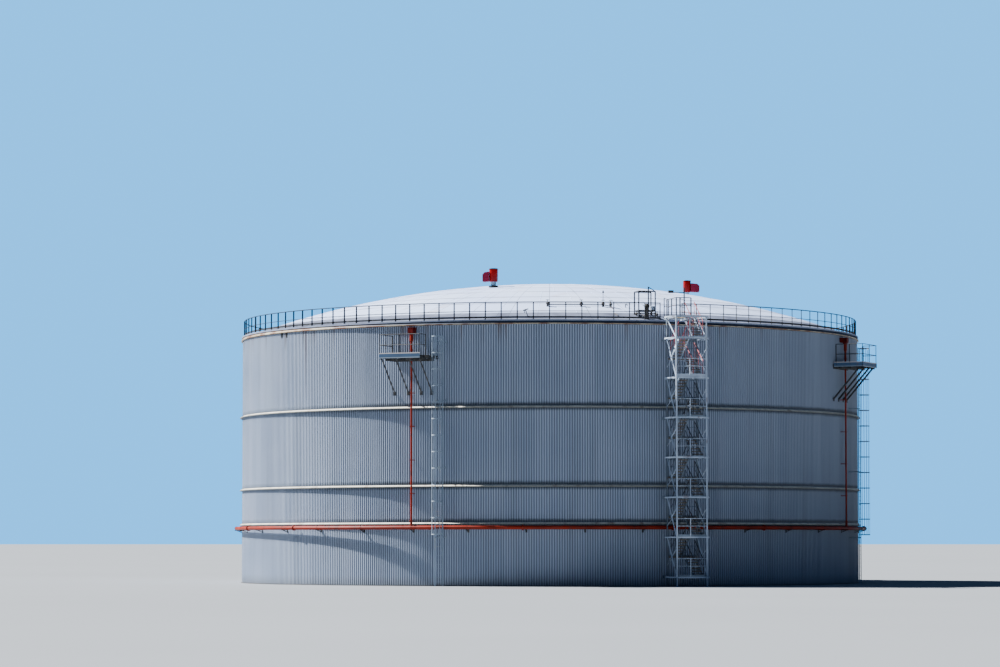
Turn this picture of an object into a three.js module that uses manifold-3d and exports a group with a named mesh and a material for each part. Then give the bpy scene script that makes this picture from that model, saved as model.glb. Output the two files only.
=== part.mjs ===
// Vertical storage tank: an insulated steel tank in ribbed cladding, with a white dome roof and its
// guardrail, a lattice stair tower, and four foam stations that a ring main feeds.
// Scale model at 1:2. Sizes are written in real metres, and m() turns them into model millimetres.
// Frame: +Z up, the origin on the tank's axis at the underside of the bottom plate. An angle round the
// tank starts at the front, -Y, and grows towards +X. A frame at such an angle has its own +X to the
// right as seen from outside, and its own -Y away from the tank.

import * as THREE from 'three';
import { mergeVertices } from 'three/addons/utils/BufferGeometryUtils.js';
import Module from 'manifold-3d';

const wasm = await Module();
wasm.setup();

// Scale and clearance
const SCALE = 0.5;
const m = (metres) => metres * 1000 * SCALE;
const GAP = 0.3; // model millimetres between pieces that touch
const GAP_REAL = GAP / (1000 * SCALE); // the same gap in real metres
const BITE = 0.02; // how far a bar runs into the piece that it is welded to
const BEYOND = 60; // a cutter's reach, farther than any piece lies from the origin
const OVERCUT = 1; // how far a cutter goes past what it cuts
const radians = THREE.MathUtils.degToRad;

// Tank body
const FACETS = 60; // flats round the tank
const FACET_TURN = 360 / FACETS;
const FLATNESS = Math.cos(radians(FACET_TURN / 2)); // a flat's distance from the axis over its corners'
const STATION_START = -24; // the first foam station, at the middle of a flat
const FACET_START = STATION_START + FACET_TURN / 2;
const CLAD_RADIUS = 22.95;
const WALL_THICKNESS = 0.15; // plate, insulation and cladding together
const WALL_BITE = CLAD_RADIUS - 0.1; // where bars that meet the wall start, before the wall cuts them
const SHELL_HEIGHT = 17.88;
const BOTTOM_RADIUS = 23.02;
const BOTTOM_THICKNESS = 0.04;
const WALL_SEGMENTS = 6;
const BELT_LEVELS = { lower: 4.3, middle: 6.86, upper: 12.25 };
const BELT_REACH = 0.18;
const BELT_HEIGHT = 0.17;
const BELT_LIP = 0.03; // how far the outer edge lies above the underside at the wall

// Roof
const EAVES_TOP = 18.1;
const EAVES_REACH = 0.12;
const EAVES_INNER_RADIUS = 22.72;
const ROOF_RIM_RADIUS = 23.02;
const DOME_RADIUS = 22.55; // where the flat rim ends and the dome starts
const DOME_RISE = 3.96;
const DOME_STEPS = [16, 9.5]; // radii where the dome's flats change slope
const ROOF_THICKNESS = 0.1;
const ROOF_SECTORS = 6;
const CROWN_RADIUS = 2.5;
const ROOF_RIM_TOP = EAVES_TOP + ROOF_THICKNESS;
const SPHERE_RADIUS = (DOME_RADIUS ** 2 + DOME_RISE ** 2) / (2 * DOME_RISE);

// Roof guardrail
const GUARD_RADIUS = 22.83;
const GUARD_SECTIONS = 4;
const GUARD_BAYS = 32; // bays in a section
const GUARD_TOP = 19.38;
const GUARD_OPEN = [19.5, 23.4]; // the angles that the gangway leaves open
const GUARD_POST = 0.03;
const GUARD_RAIL = 0.06;
const GUARD_END = 0.1; // degrees from a section's end to its last post
const TOE_TOP = 18.42;
const TOE_THICKNESS = 0.04;

// Stair tower
const TOWER_ANGLE = 21.9;
const TOWER_RADIUS = 25.0; // from the tank's axis to the tower's
const TOWER_TURN = -6.4; // the tower stands slightly turned to the tank
const POST_SPAN = 2.12;
const POST_SIZE = 0.09;
const FIRST_LANDING = 0.68;
const STOREY = 2.7;
const STOREYS = 6;
const TOP_LANDING = 18.33;
const TOWER_RAIL = 1.22;
const TOWER_KNEE_RAIL = 0.71;
const TOWER_RAIL_SIZE = 0.04;
const RING_SIDES = 16;
const RING_WIDTH = 0.06;
const RING_HEIGHT = 0.1;
const BRACE_SIZE = 0.05;
const TIE_SIZE = 0.07;
const TIE_REACH = 2; // longer than the way from the tower to the wall
const TIED_LANDINGS = [0, 2, 4, 6];

// Stair flights: they take up the square of posts, and the landings lie between the square and a ring
const FLIGHT_WIDTH = 0.72;
const FLIGHT_PLACE = 0.15; // from the tower's middle to a flight's near side
const FLIGHT_REACH = 0.98; // from the tower's middle to a flight's ends
const PLATE = 0.05;
const LANDING_TOE = 0.15;
const LANDING_TOE_THICKNESS = 0.02;
const TREADS = 6; // treads in a half flight
const TREAD_DEPTH = 0.26;
const TREAD_THICKNESS = 0.03;
const STRINGER_WIDTH = 0.04;
const STRINGER_DEPTH = 0.24; // measured upright
const TOP_FLOOR_SIDE = 0.05; // where the top landing's floor ends beside the last flight

// Gangway from the stair tower's top landing onto the roof's rim
const GANGWAY = [-0.87, 0.34]; // its sides, in the tower's frame
const GANGWAY_START = 1.1;
const GANGWAY_END = 2.36;
const GANGWAY_POSTS = [1.32, 2.3];
const GANGWAY_RAIL = [1.2, 1.42]; // rail height at the tower and at the roof
const GANGWAY_KNEE = 0.6; // share of the rail's height
const GANGWAY_POST = 0.05;
const GANGWAY_RAIL_SIZE = 0.04;
const GANGWAY_INSET = 0.04; // from a side to the middle of its posts

// Roof platform beside the gangway
const PLATFORM_ANGLE = 17.7;
const PLATFORM_HALF = 0.62;
const PLATFORM_REACH = [21.15, 22.05]; // from the tank's axis
const PLATFORM_TOP = 18.95;
const PLATFORM_PLATE = 0.06;
const PLATFORM_RAIL = 1.28;
const PLATFORM_POST = 0.06;

// Roof pipe with its valves
const PIPE_RADIUS = 19.15;
const PIPE_CLEARANCE = 0.13;
const PIPE_SIZE = 0.06;
const PIPE_SIDES = 6;
const VALVE_SIDES = 8;
const VALVE_ANGLES = [-0.4, 6.6, 11.2];
const VALVE_PROFILE = [
  [0, -0.3],
  [0.09, -0.3],
  [0.09, 0.2],
  [0.15, 0.2],
  [0.15, 0.26],
  [0.05, 0.5],
  [0, 0.5],
];

// Foam stations
const STATIONS = 4;
const MAIN_RADIUS = 23.37;
const MAIN_LEVEL = 4.0;
const MAIN_DIAMETER = 0.27;
const MAIN_SIDES = 6;
const BRACKETS_PER_STATION = 9;
const BRACKET_WIDTH = 0.08;
const BRACKET_DROP = [0.2, 0.1]; // underside and top below the main's middle
const RISER_DIAMETER = 0.13;
const RISER_SIDES = 6;
const CHAMBER_PIPE_DIAMETER = 0.26;
const CHAMBER_PIPE_BOTTOM = 16.1;
const CHAMBER_BOTTOM = 17.29;
const CHAMBER_TOP = 17.68;
const CHAMBER_WIDTH = 0.53;

// Foam platforms
const DECK_TOP = 15.75;
const DECK_THICKNESS = 0.12;
const DECK_OUTER = 25.2; // from the tank's axis
const DECK_HALF_LENGTH = 1.54;
const DECK_STEP_END = 1.86; // the deck's short step towards the ladder
const DECK_STEP_OUTER = 24.5;
const DECK_RAIL = 1.42;
const DECK_KNEE_RAIL = 0.7;
const DECK_RAIL_SIZE = 0.05;
const DECK_RAIL_INSET = 0.03;
const DECK_RAIL_END = 23.2; // where the left side rail ends by the wall
const DECK_GATE = 24.2; // where the right side rail ends for the way to the ladder
const DECK_TOE = 0.15;
const DECK_TOE_THICKNESS = 0.02;
const STRUT_PLACES = [-1.45, -0.4, 0.6, 1.4];
const STRUT_TOP = 25.1; // from the tank's axis, where a strut meets the deck
const STRUT_FOOT = 13.2;
const STRUT_SIZE = 0.08;
const RISER_ROOM = 0.06;

// Caged ladders
const LADDER_TURN = 5.4; // degrees past the foam station
const LADDER_RADIUS = 23.68;
const LADDER_WIDTH = 0.5;
const LADDER_TOP = 17.1;
const LADDER_STRINGER = 0.07;
const RUNG_SIZE = 0.03;
const RUNGS_BELOW_HOOPS = 2;
const LADDER_BRACKET = 0.04;
const LADDER_BRACKETS = [3.34, 8.09, 12.67, 16.67];
const CAGE_REACH = 0.78;
const CAGE_WIDTH = 0.76;
const CAGE_SHOULDER = 0.35; // how far out the cage is widest
const HOOP_HEIGHT = 0.05;
const HOOP_INNER = { across: 0.9, reach: 0.94 }; // the hoop's inner edge over its outer edge
const HOOP_BOTTOM = 3.5;
const HOOP_SPACING = 1.125;
const HOOPS = 13;

// Roof vents: the place on the roof, the drum's width and height, and the cowl box's side and reach
const VENTS = [
  { name: 'roof_vent_left', x: -4.06, y: -8.82, drum: 0.67, height: 0.99, cowl: -1, reach: 0.47 },
  { name: 'roof_vent_right', x: 10.32, y: 0.3, drum: 0.61, height: 0.9, cowl: 1, reach: 0.63 },
];
const VENT_SIDES = 16;
const VENT_NECK = 0.38;
const VENT_FLANGE = 0.1;
const VENT_SINK = 0.15; // how far the flange reaches down before the roof cuts it
const VENT_SHARES = { flange: 0.45, neck: 0.26, cap: 0.3, cowl: 0.4 }; // half widths over the drum's width
const CAP_START = 0.94; // share of the drum's height where its cap starts to taper
const COWL_TOP = 0.8; // share of the drum's height that the cowl box takes

// Materials
const CLADDING = new THREE.MeshStandardMaterial({ color: 0x8f9aa8, roughness: 0.55, metalness: 0.3 });
const TRIM = new THREE.MeshStandardMaterial({ color: 0xd8d4c8, roughness: 0.6, metalness: 0.1 });
const ROOF = new THREE.MeshStandardMaterial({ color: 0xd9dae6, roughness: 0.6, metalness: 0.1 });
const RAILING = new THREE.MeshStandardMaterial({ color: 0x4a5a6e, roughness: 0.6, metalness: 0.3 });
const TOWER = new THREE.MeshStandardMaterial({ color: 0xb6c3d0, roughness: 0.5, metalness: 0.2 });
const FOAM = new THREE.MeshStandardMaterial({ color: 0xb5482f, roughness: 0.5, metalness: 0.1 });
const VENT = new THREE.MeshStandardMaterial({ color: 0xc21a1a, roughness: 0.45, metalness: 0.1 });
const STEEL = new THREE.MeshStandardMaterial({ color: 0x4d4f55, roughness: 0.7, metalness: 0.4 });

// A closed three.js geometry becomes a solid, for joining and cutting
function toSolid(geometry) {
  const bare = new THREE.BufferGeometry();
  bare.setAttribute('position', geometry.getAttribute('position').clone());
  bare.setIndex(geometry.getIndex());
  const merged = mergeVertices(bare, 1e-3);
  const vertProperties = new Float32Array(merged.getAttribute('position').array);
  const triVerts = new Uint32Array(merged.getIndex().array);
  return new wasm.Manifold(new wasm.Mesh({ numProp: 3, vertProperties, triVerts }));
}

function toGeometry(solid) {
  const { vertProperties, triVerts } = solid.getMesh();
  const geometry = new THREE.BufferGeometry();
  geometry.setAttribute('position', new THREE.BufferAttribute(vertProperties, 3));
  geometry.setIndex(new THREE.BufferAttribute(triVerts, 1));
  geometry.computeVertexNormals();
  return geometry;
}

const join = (solids) => solids.reduce((whole, solid) => whole.add(solid));

// A named mesh of one solid
function piece(name, solid, material) {
  const mesh = new THREE.Mesh(toGeometry(solid), material);
  mesh.name = name;
  return mesh;
}

// A box between two corners, in model millimetres
function block([x0, x1], [y0, y1], [z0, z1]) {
  const geometry = new THREE.BoxGeometry(x1 - x0, y1 - y0, z1 - z0);
  geometry.translate((x0 + x1) / 2, (y0 + y1) / 2, (z0 + z1) / 2);
  return toSolid(geometry);
}

// A straight bar of a few sides between two points: width is across the flats
function bar(from, to, width, sides = 4) {
  const start = new THREE.Vector3(...from);
  const run = new THREE.Vector3(...to).sub(start);
  const length = run.length();
  const corner = width / 2 / Math.cos(Math.PI / sides);
  const geometry = new THREE.CylinderGeometry(corner, corner, length, sides, 1, false, Math.PI / sides);
  geometry.translate(0, length / 2, 0);
  const along = new THREE.Quaternion().setFromUnitVectors(new THREE.Vector3(0, 1, 0), run.normalize());
  geometry.applyQuaternion(along);
  geometry.translate(start.x, start.y, start.z);
  return toSolid(geometry);
}

// A profile of [radius, height] points in real metres, turned once round the tank's axis in flats.
// It starts and ends on the axis, or closes on itself with its inside on the left.
function turned(profile, facets = FACETS, start = FACET_START) {
  const onAxis = profile[0][0] === 0;
  const line = onAxis ? profile : [...profile, profile[0]];
  const points = line.map(([radius, height]) => new THREE.Vector2(m(radius), m(height)));
  const geometry = new THREE.LatheGeometry(points, facets, radians(start), 2 * Math.PI);
  geometry.rotateX(Math.PI / 2);
  return toSolid(geometry);
}

// A turned ring of rectangular section
const band = (inner, outer, low, high, facets, start) =>
  turned([[inner, low], [outer, low], [outer, high], [inner, high]], facets, start);

// The part of a turned solid between two angles, with half a gap left at each end
function sector(solid, from, to) {
  const reach = m(BEYOND);
  const half = (to - from) / 2;
  const apex = GAP / 2 / Math.sin(radians(half));
  const side = reach * Math.tan(radians(Math.min(half, 60)));
  const shape = new THREE.Shape([
    new THREE.Vector2(0, -apex),
    new THREE.Vector2(-side, -apex - reach),
    new THREE.Vector2(side, -apex - reach),
  ]);
  const wedge = toSolid(new THREE.ExtrudeGeometry(shape, { depth: reach, bevelEnabled: false }));
  return solid.intersect(wedge.translate([0, 0, -reach / 2]).rotate([0, 0, from + half]));
}

// How far the flats lie from the axis at an angle, where their corners lie at a radius
function flatRadius(radius, angle) {
  const fromStart = (((angle - STATION_START) % FACET_TURN) + 1.5 * FACET_TURN) % FACET_TURN;
  return (radius * FLATNESS) / Math.cos(radians(fromStart - FACET_TURN / 2));
}

// The tank's wall as a cutter, in a frame at an angle round the tank: what it cuts keeps the gap
function wallCutter(angle) {
  const radius = CLAD_RADIUS + GAP_REAL / FLATNESS;
  const top = SHELL_HEIGHT + OVERCUT;
  const body = turned([[0, -OVERCUT], [radius, -OVERCUT], [radius, top], [0, top]]);
  return body.rotate([0, 0, -angle]);
}

// Height of the dome's upper face above the base, at a radius
const domeHeight = (radius) =>
  ROOF_RIM_TOP + DOME_RISE - SPHERE_RADIUS + Math.sqrt(SPHERE_RADIUS ** 2 - radius ** 2);

// A group at an angle round the tank
function frameAt(angle, ...members) {
  const frame = new THREE.Group();
  frame.rotation.z = radians(angle);
  frame.add(...members);
  return frame;
}

// A block or a bar in a frame at an angle: across, out from the tank's axis, and up, in real metres
const outBlock = (x, out, z) => block(x.map(m), out.map((reach) => -m(reach)).reverse(), z.map(m));
function outBar(from, to, width, sides) {
  const place = ([x, out, z]) => [m(x), -m(out), m(z)];
  return bar(place(from), place(to), m(width), sides);
}

const group = new THREE.Group();

// Bottom plate
const bottomCorners = [[BOTTOM_RADIUS, 0], [BOTTOM_RADIUS, BOTTOM_THICKNESS]];
const bottom = turned([[0, 0], ...bottomCorners, [0, BOTTOM_THICKNESS]]);
group.add(piece('bottom_plate', bottom, STEEL));

// Wall: one ring, parted into upright segments
const wall = band(CLAD_RADIUS - WALL_THICKNESS, CLAD_RADIUS, BOTTOM_THICKNESS + GAP_REAL, SHELL_HEIGHT);
for (let i = 0; i < WALL_SEGMENTS; i += 1) {
  const turn = 360 / WALL_SEGMENTS;
  const start = FACET_START + i * turn;
  group.add(piece(`wall_segment_${i + 1}`, sector(wall, start, start + turn), CLADDING));
}

// Belts: flashing rings that part the tiers of cladding
const beltInner = CLAD_RADIUS + GAP_REAL / FLATNESS;
for (const [name, level] of Object.entries(BELT_LEVELS)) {
  const underside = level - BELT_HEIGHT / 2;
  const belt = turned([
    [beltInner, underside],
    [CLAD_RADIUS + BELT_REACH, underside + BELT_LIP],
    [beltInner, underside + BELT_HEIGHT],
  ]);
  group.add(piece(`belt_${name}`, belt, TRIM));
}

// Eaves flashing between the wall's top and the roof's rim
const eaves = turned([
  [EAVES_INNER_RADIUS, SHELL_HEIGHT + GAP_REAL],
  [CLAD_RADIUS + EAVES_REACH, SHELL_HEIGHT + GAP_REAL],
  [CLAD_RADIUS, EAVES_TOP - GAP_REAL],
  [EAVES_INNER_RADIUS, EAVES_TOP - GAP_REAL],
]);
group.add(piece('eaves_flashing', eaves, TRIM));

// Roof: plated sectors with a flat rim, and a crown plate
const domeRadii = [DOME_RADIUS, ...DOME_STEPS, CROWN_RADIUS + 2 * GAP_REAL];
const domeTop = domeRadii.map((radius) => [radius, domeHeight(radius)]);
const roofTop = [[ROOF_RIM_RADIUS, ROOF_RIM_TOP], ...domeTop];
const roofUnder = roofTop.map(([radius, height]) => [radius, height - ROOF_THICKNESS]).reverse();
const roof = turned([...roofUnder, ...roofTop]);
for (let i = 0; i < ROOF_SECTORS; i += 1) {
  const turn = 360 / ROOF_SECTORS;
  const start = FACET_START + turn / 2 + i * turn;
  group.add(piece(`roof_sector_${i + 1}`, sector(roof, start, start + turn), ROOF));
}
const crown = turned([
  [0, domeHeight(0) - ROOF_THICKNESS],
  [CROWN_RADIUS, domeHeight(CROWN_RADIUS) - ROOF_THICKNESS],
  [CROWN_RADIUS, domeHeight(CROWN_RADIUS)],
  [0, domeHeight(0)],
]);
group.add(piece('roof_crown', crown, ROOF));

// All that stands on the roof is cut by this, a little above the roof's upper face
const roofCutter = turned([
  [0, EAVES_TOP],
  [ROOF_RIM_RADIUS, EAVES_TOP],
  [ROOF_RIM_RADIUS, ROOF_RIM_TOP + GAP_REAL],
  ...domeRadii.map((radius) => [radius, domeHeight(radius) + 2 * GAP_REAL]),
  [0, domeHeight(0) + 2 * GAP_REAL],
]);

// Guardrail on the roof's rim: sections of a toe board, posts and a top rail, open at the gangway
const guardBand = (width, low, high) => band(GUARD_RADIUS - width / 2, GUARD_RADIUS + width / 2, low, high);
const guardRings = join([
  guardBand(TOE_THICKNESS, ROOF_RIM_TOP + GAP_REAL, TOE_TOP),
  guardBand(GUARD_RAIL, GUARD_TOP - GUARD_RAIL / 2, GUARD_TOP + GUARD_RAIL / 2),
]);
const sectionTurn = (360 - GUARD_OPEN[1] + GUARD_OPEN[0]) / GUARD_SECTIONS;
for (let i = 0; i < GUARD_SECTIONS; i += 1) {
  const start = GUARD_OPEN[1] + i * sectionTurn;
  const posts = Array.from({ length: GUARD_BAYS + 1 }, (_, k) => {
    const angle = start + GUARD_END + ((sectionTurn - 2 * GUARD_END) * k) / GUARD_BAYS;
    const out = flatRadius(GUARD_RADIUS, angle);
    const half = GUARD_POST / 2;
    const post = outBlock([-half, half], [out - half, out + half], [TOE_TOP - BITE, GUARD_TOP]);
    return post.rotate([0, 0, angle]);
  });
  const rails = sector(guardRings, start, start + sectionTurn);
  group.add(piece(`roof_guardrail_${i + 1}`, join([rails, ...posts]), RAILING));
}

// Stair tower, in its own frame: a group at its place and turn, with +Y towards the tank
const tower = new THREE.Group();
tower.position.set(0, -m(TOWER_RADIUS), 0);
tower.rotation.z = radians(TOWER_TURN);
const intoTower = (solid) => solid.translate([0, m(TOWER_RADIUS), 0]).rotate([0, 0, -TOWER_TURN]);
const towerBlock = (x, y, z) => block(x.map(m), y.map(m), z.map(m));
const towerBar = (from, to, width) => bar(from.map(m), to.map(m), m(width));
const landings = Array.from({ length: STOREYS + 1 }, (_, i) => FIRST_LANDING + i * STOREY);
const levels = [...landings, TOP_LANDING];
const corner = POST_SPAN / 2;
const corners = [[-corner, -corner], [corner, -corner], [-corner, corner], [corner, corner]];

function towerPost([x, y], room = 0) {
  const half = POST_SIZE / 2 + room;
  return towerBlock([x - half, x + half], [y - half, y + half], [0, TOP_LANDING + TOWER_RAIL]);
}
const posts = corners.map((place) => towerPost(place));
const postRoom = join(corners.map((place) => towerPost(place, GAP_REAL)));

// The gangway's plate: between the rear posts, over the top ring, and onto the roof's rim
const [gangwayLeft, gangwayRight] = GANGWAY;
const gangwayPlate = (room) => towerBlock(
  [gangwayLeft - room, gangwayRight + room],
  [GANGWAY_START - room, GANGWAY_END + room],
  [ROOF_RIM_TOP + GAP_REAL - room, TOP_LANDING + room],
);

// A round ring at each landing, parted into quarters from post to post
const ringRadius = corner * Math.SQRT2;
const ringEdges = [ringRadius - RING_WIDTH / 2, ringRadius + RING_WIDTH / 2];
const rings = join(levels.map((level) => band(...ringEdges, level - RING_HEIGHT, level, RING_SIDES, 45)));
const quarterRings = (angle) => sector(rings, angle - 45, angle + 45);

// The front has a rail round each landing, and rails round two sides of the top landing's floor
const railEdges = [ringRadius - TOWER_RAIL_SIZE / 2, ringRadius + TOWER_RAIL_SIZE / 2];
const railHeights = [TOWER_RAIL, TOWER_KNEE_RAIL];
const landingRails = join(landings.flatMap((level) => railHeights.map((height) => {
  const middle = level + height;
  return band(...railEdges, middle - TOWER_RAIL_SIZE / 2, middle + TOWER_RAIL_SIZE / 2, RING_SIDES, 45);
})));
const clearOfPost = corner - POST_SIZE / 2 - GAP_REAL;
const topRails = railHeights.flatMap((height) => {
  const z = TOP_LANDING + height;
  return [
    towerBar([-corner, -corner, z], [0, -corner, z], TOWER_RAIL_SIZE),
    towerBar([-corner, -corner, z], [-corner, clearOfPost, z], TOWER_RAIL_SIZE),
  ];
});
const topPost = towerBar(
  [0, -corner, TOP_LANDING],
  [0, -corner, TOP_LANDING + TOWER_RAIL],
  TOWER_RAIL_SIZE,
);
const frontRails = sector(landingRails, -45, 45);
const front = join([quarterRings(0), posts[0], posts[1], frontRails, ...topRails, topPost]);
tower.add(piece('stair_tower_front', front, TOWER));

const ties = TIED_LANDINGS.flatMap((i) => [-corner, corner].map((x) => {
  const z = landings[i] - RING_HEIGHT / 2;
  return towerBar([x, corner, z], [x, corner + TIE_REACH, z], TIE_SIZE);
}));
const cutTies = join(ties).subtract(intoTower(wallCutter(TOWER_ANGLE)));
const rear = join([quarterRings(180), posts[2], posts[3], cutTies]).subtract(gangwayPlate(GAP_REAL));
tower.add(piece('stair_tower_rear', rear, TOWER));

// A side: quarter rings, with a brace across each storey from the front post up to the rear one
const braceEnd = corner - POST_SIZE;
for (const [name, side] of [['left', -1], ['right', 1]]) {
  const x = side * corner;
  const braces = levels.slice(1).map((level, i) => {
    const foot = [x, -braceEnd, levels[i] - RING_HEIGHT / 2];
    return towerBar(foot, [x, braceEnd, level - RING_HEIGHT / 2], BRACE_SIZE);
  });
  const panel = join([quarterRings(side * 90), ...braces]);
  tower.add(piece(`stair_tower_${name}`, panel.subtract(postRoom), TOWER));
}

// A landing at the tower's front or rear: it fills the ring beyond the flights, between the posts
const landingEdge = ringEdges[0] - GAP_REAL / Math.cos(Math.PI / RING_SIDES);
function landingArea(level, side) {
  const along = [side * FLIGHT_REACH, side * landingEdge].sort((a, b) => a - b);
  return towerBlock([-clearOfPost, clearOfPost], along, [level - PLATE, level + LANDING_TOE]);
}
function landingPlate(level, side) {
  const [under, over] = [level - PLATE, level];
  const disc = turned([[0, under], [landingEdge, under], [landingEdge, over], [0, over]], RING_SIDES, 45);
  return disc.intersect(landingArea(level, side));
}

// A toe board runs along a landing's curved edge
function landing(level, side) {
  const inner = landingEdge - LANDING_TOE_THICKNESS;
  const toe = band(inner, landingEdge, level - PLATE, level + LANDING_TOE, RING_SIDES, 45);
  return landingPlate(level, side).add(toe.intersect(landingArea(level, side)));
}

// A half flight: two plate stringers with treads between them
function halfFlight(x, fromY, toY, low, high) {
  const slope = (high - low) / (toY - fromY);
  const start = fromY - Math.sign(toY - fromY) * BITE;
  const foot = low + slope * (start - fromY);
  const top = [[toY, high], [start, foot]];
  const outline = [...top.map(([y, z]) => [y, z - STRINGER_DEPTH]).reverse(), ...top];
  const shape = new THREE.Shape(outline.map(([y, z]) => new THREE.Vector2(m(y), m(z))));
  const plate = new THREE.ExtrudeGeometry(shape, { depth: m(STRINGER_WIDTH), bevelEnabled: false });
  plate.applyMatrix4(new THREE.Matrix4().makeBasis(
    new THREE.Vector3(0, 1, 0),
    new THREE.Vector3(0, 0, 1),
    new THREE.Vector3(1, 0, 0),
  ));
  const stringer = toSolid(plate);
  const sides = [x, x + FLIGHT_WIDTH - STRINGER_WIDTH];
  const stringers = sides.map((side) => stringer.translate([m(side), 0, 0]));
  const rise = (high - low) / (TREADS + 1);
  const going = (toY - fromY) / (TREADS + 1);
  const ends = [x + STRINGER_WIDTH / 2, x + FLIGHT_WIDTH - STRINGER_WIDTH / 2];
  const treads = Array.from({ length: TREADS }, (_, k) => {
    const y = fromY + going * (k + 1);
    const z = low + rise * (k + 1);
    return towerBlock(ends, [y - TREAD_DEPTH / 2, y + TREAD_DEPTH / 2], [z - TREAD_THICKNESS, z]);
  });
  return join([...stringers, ...treads]);
}

// A flight: its landing at the front, a half flight up on the right, a landing at the rear, and a half
// flight on the left that ends under the next landing
const upRight = (low, high) => halfFlight(FLIGHT_PLACE, -FLIGHT_REACH, FLIGHT_REACH, low, high);
const upLeft = (low, high) =>
  halfFlight(-FLIGHT_PLACE - FLIGHT_WIDTH, FLIGHT_REACH, -FLIGHT_REACH + GAP_REAL, low, high);
for (let i = 0; i < STOREYS; i += 1) {
  const low = landings[i];
  const middle = low + STOREY / 2;
  const flight = join([
    landing(low, -1),
    upRight(low, middle),
    landing(middle, 1),
    upLeft(middle, low + STOREY),
  ]);
  tower.add(piece(`stair_flight_${i + 1}`, flight, TOWER));
}

// The top flight ends at the top landing, whose floor also covers the square's left half. The gangway
// leads from there onto the roof
const topLevel = [TOP_LANDING - PLATE, TOP_LANDING];
const gangwayPlace = towerBlock(
  [-ringRadius, gangwayRight + GAP_REAL],
  [GANGWAY_START - GAP_REAL, ringRadius],
  [TOP_LANDING - STOREY, TOP_LANDING + STOREY],
);
const topFlight = join([
  landing(landings[STOREYS], -1),
  upRight(landings[STOREYS], TOP_LANDING),
  landingPlate(TOP_LANDING, 1).subtract(gangwayPlace),
  towerBlock([-clearOfPost, TOP_FLOOR_SIDE], [-clearOfPost, FLIGHT_REACH + BITE], topLevel),
]);
tower.add(piece('stair_flight_top', topFlight, TOWER));
const gangwayRails = GANGWAY.flatMap((side) => {
  const x = side - Math.sign(side) * GANGWAY_INSET;
  const [near, far] = GANGWAY_POSTS;
  const [low, high] = GANGWAY_RAIL.map((height) => TOP_LANDING + height);
  const knee = (top) => TOP_LANDING + (top - TOP_LANDING) * GANGWAY_KNEE;
  return [
    towerBar([x, near, TOP_LANDING - BITE], [x, near, low], GANGWAY_POST),
    towerBar([x, far, TOP_LANDING - BITE], [x, far, high], GANGWAY_POST),
    towerBar([x, near - GANGWAY_INSET, low], [x, far + GANGWAY_INSET, high], GANGWAY_RAIL_SIZE),
    towerBar([x, near, knee(low)], [x, far, knee(high)], GANGWAY_RAIL_SIZE),
  ];
});
tower.add(piece('gangway', join([gangwayPlate(0), ...gangwayRails]), TOWER));
group.add(frameAt(TOWER_ANGLE, tower));

// Roof platform: a small deck on legs with rails on three sides, open towards the gangway
const [platformNear, platformFar] = PLATFORM_REACH;
const platformPost = (x, out, top) => outBar([x, out, ROOF_RIM_TOP], [x, out, top], PLATFORM_POST);
const platformCorners = PLATFORM_REACH.flatMap((out) => [[-PLATFORM_HALF, out], [PLATFORM_HALF, out]]);
const platformRailAt = (side, out) => [side * PLATFORM_HALF, out, PLATFORM_TOP + PLATFORM_RAIL];
const platformRails = [
  [platformRailAt(-1, platformNear - BITE), platformRailAt(-1, platformFar + BITE)],
  [platformRailAt(-1, platformFar), platformRailAt(1, platformFar)],
  [platformRailAt(-1, platformNear), platformRailAt(1, platformNear)],
].map(([from, to]) => outBar(from, to, PLATFORM_POST));
const platform = join([
  outBlock([-PLATFORM_HALF, PLATFORM_HALF], PLATFORM_REACH, [PLATFORM_TOP - PLATFORM_PLATE, PLATFORM_TOP]),
  ...platformCorners.map(([x, out]) => platformPost(x, out, PLATFORM_TOP + PLATFORM_RAIL)),
  ...platformRails,
]).subtract(roofCutter.rotate([0, 0, -PLATFORM_ANGLE]));
group.add(frameAt(PLATFORM_ANGLE, piece('roof_platform', platform, RAILING)));

// Roof pipe: a thin pipe low over the roof's front, with a valve at each end and one on its way
const pipeLevel = domeHeight(PIPE_RADIUS);
const valveBody = turned(VALVE_PROFILE, VALVE_SIDES, 0);
const valvePlaces = VALVE_ANGLES.map((angle) =>
  [m(PIPE_RADIUS * Math.sin(radians(angle))), -m(PIPE_RADIUS * Math.cos(radians(angle))), m(pipeLevel)]);
const pipeEnds = valvePlaces.map(([x, y, z]) => [x, y, z + m(PIPE_CLEARANCE)]);
const roofPipe = join([
  ...valvePlaces.map((place) => valveBody.translate(place)),
  ...pipeEnds.slice(1).map((end, i) => bar(pipeEnds[i], end, m(PIPE_SIZE), PIPE_SIDES)),
]).subtract(roofCutter);
group.add(piece('roof_pipe', roofPipe, STEEL));

// Foam line of a station: a quarter of the ring main on its wall brackets, the riser and the chamber
const stationTurn = 360 / STATIONS;
const stationCutter = wallCutter(STATION_START);
const mainSection = Array.from({ length: MAIN_SIDES }, (_, i) => {
  const turn = (2 * Math.PI * (i + 0.5)) / MAIN_SIDES;
  const reach = MAIN_DIAMETER / 2 / Math.cos(Math.PI / MAIN_SIDES);
  return [MAIN_RADIUS + reach * Math.cos(turn), MAIN_LEVEL + reach * Math.sin(turn)];
});
const main = turned(mainSection).rotate([0, 0, -STATION_START]);
const bracket = outBlock(
  [-BRACKET_WIDTH / 2, BRACKET_WIDTH / 2],
  [WALL_BITE, MAIN_RADIUS + BRACKET_WIDTH / 2],
  BRACKET_DROP.map((drop) => MAIN_LEVEL - drop),
);
const brackets = Array.from({ length: BRACKETS_PER_STATION }, (_, i) =>
  bracket.rotate([0, 0, ((i + 0.5) / BRACKETS_PER_STATION - 0.5) * stationTurn]));
const riserOut = MAIN_RADIUS * FLATNESS;
const riser = (low, high, width, sides) => outBar([0, riserOut, low], [0, riserOut, high], width, sides);
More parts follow.
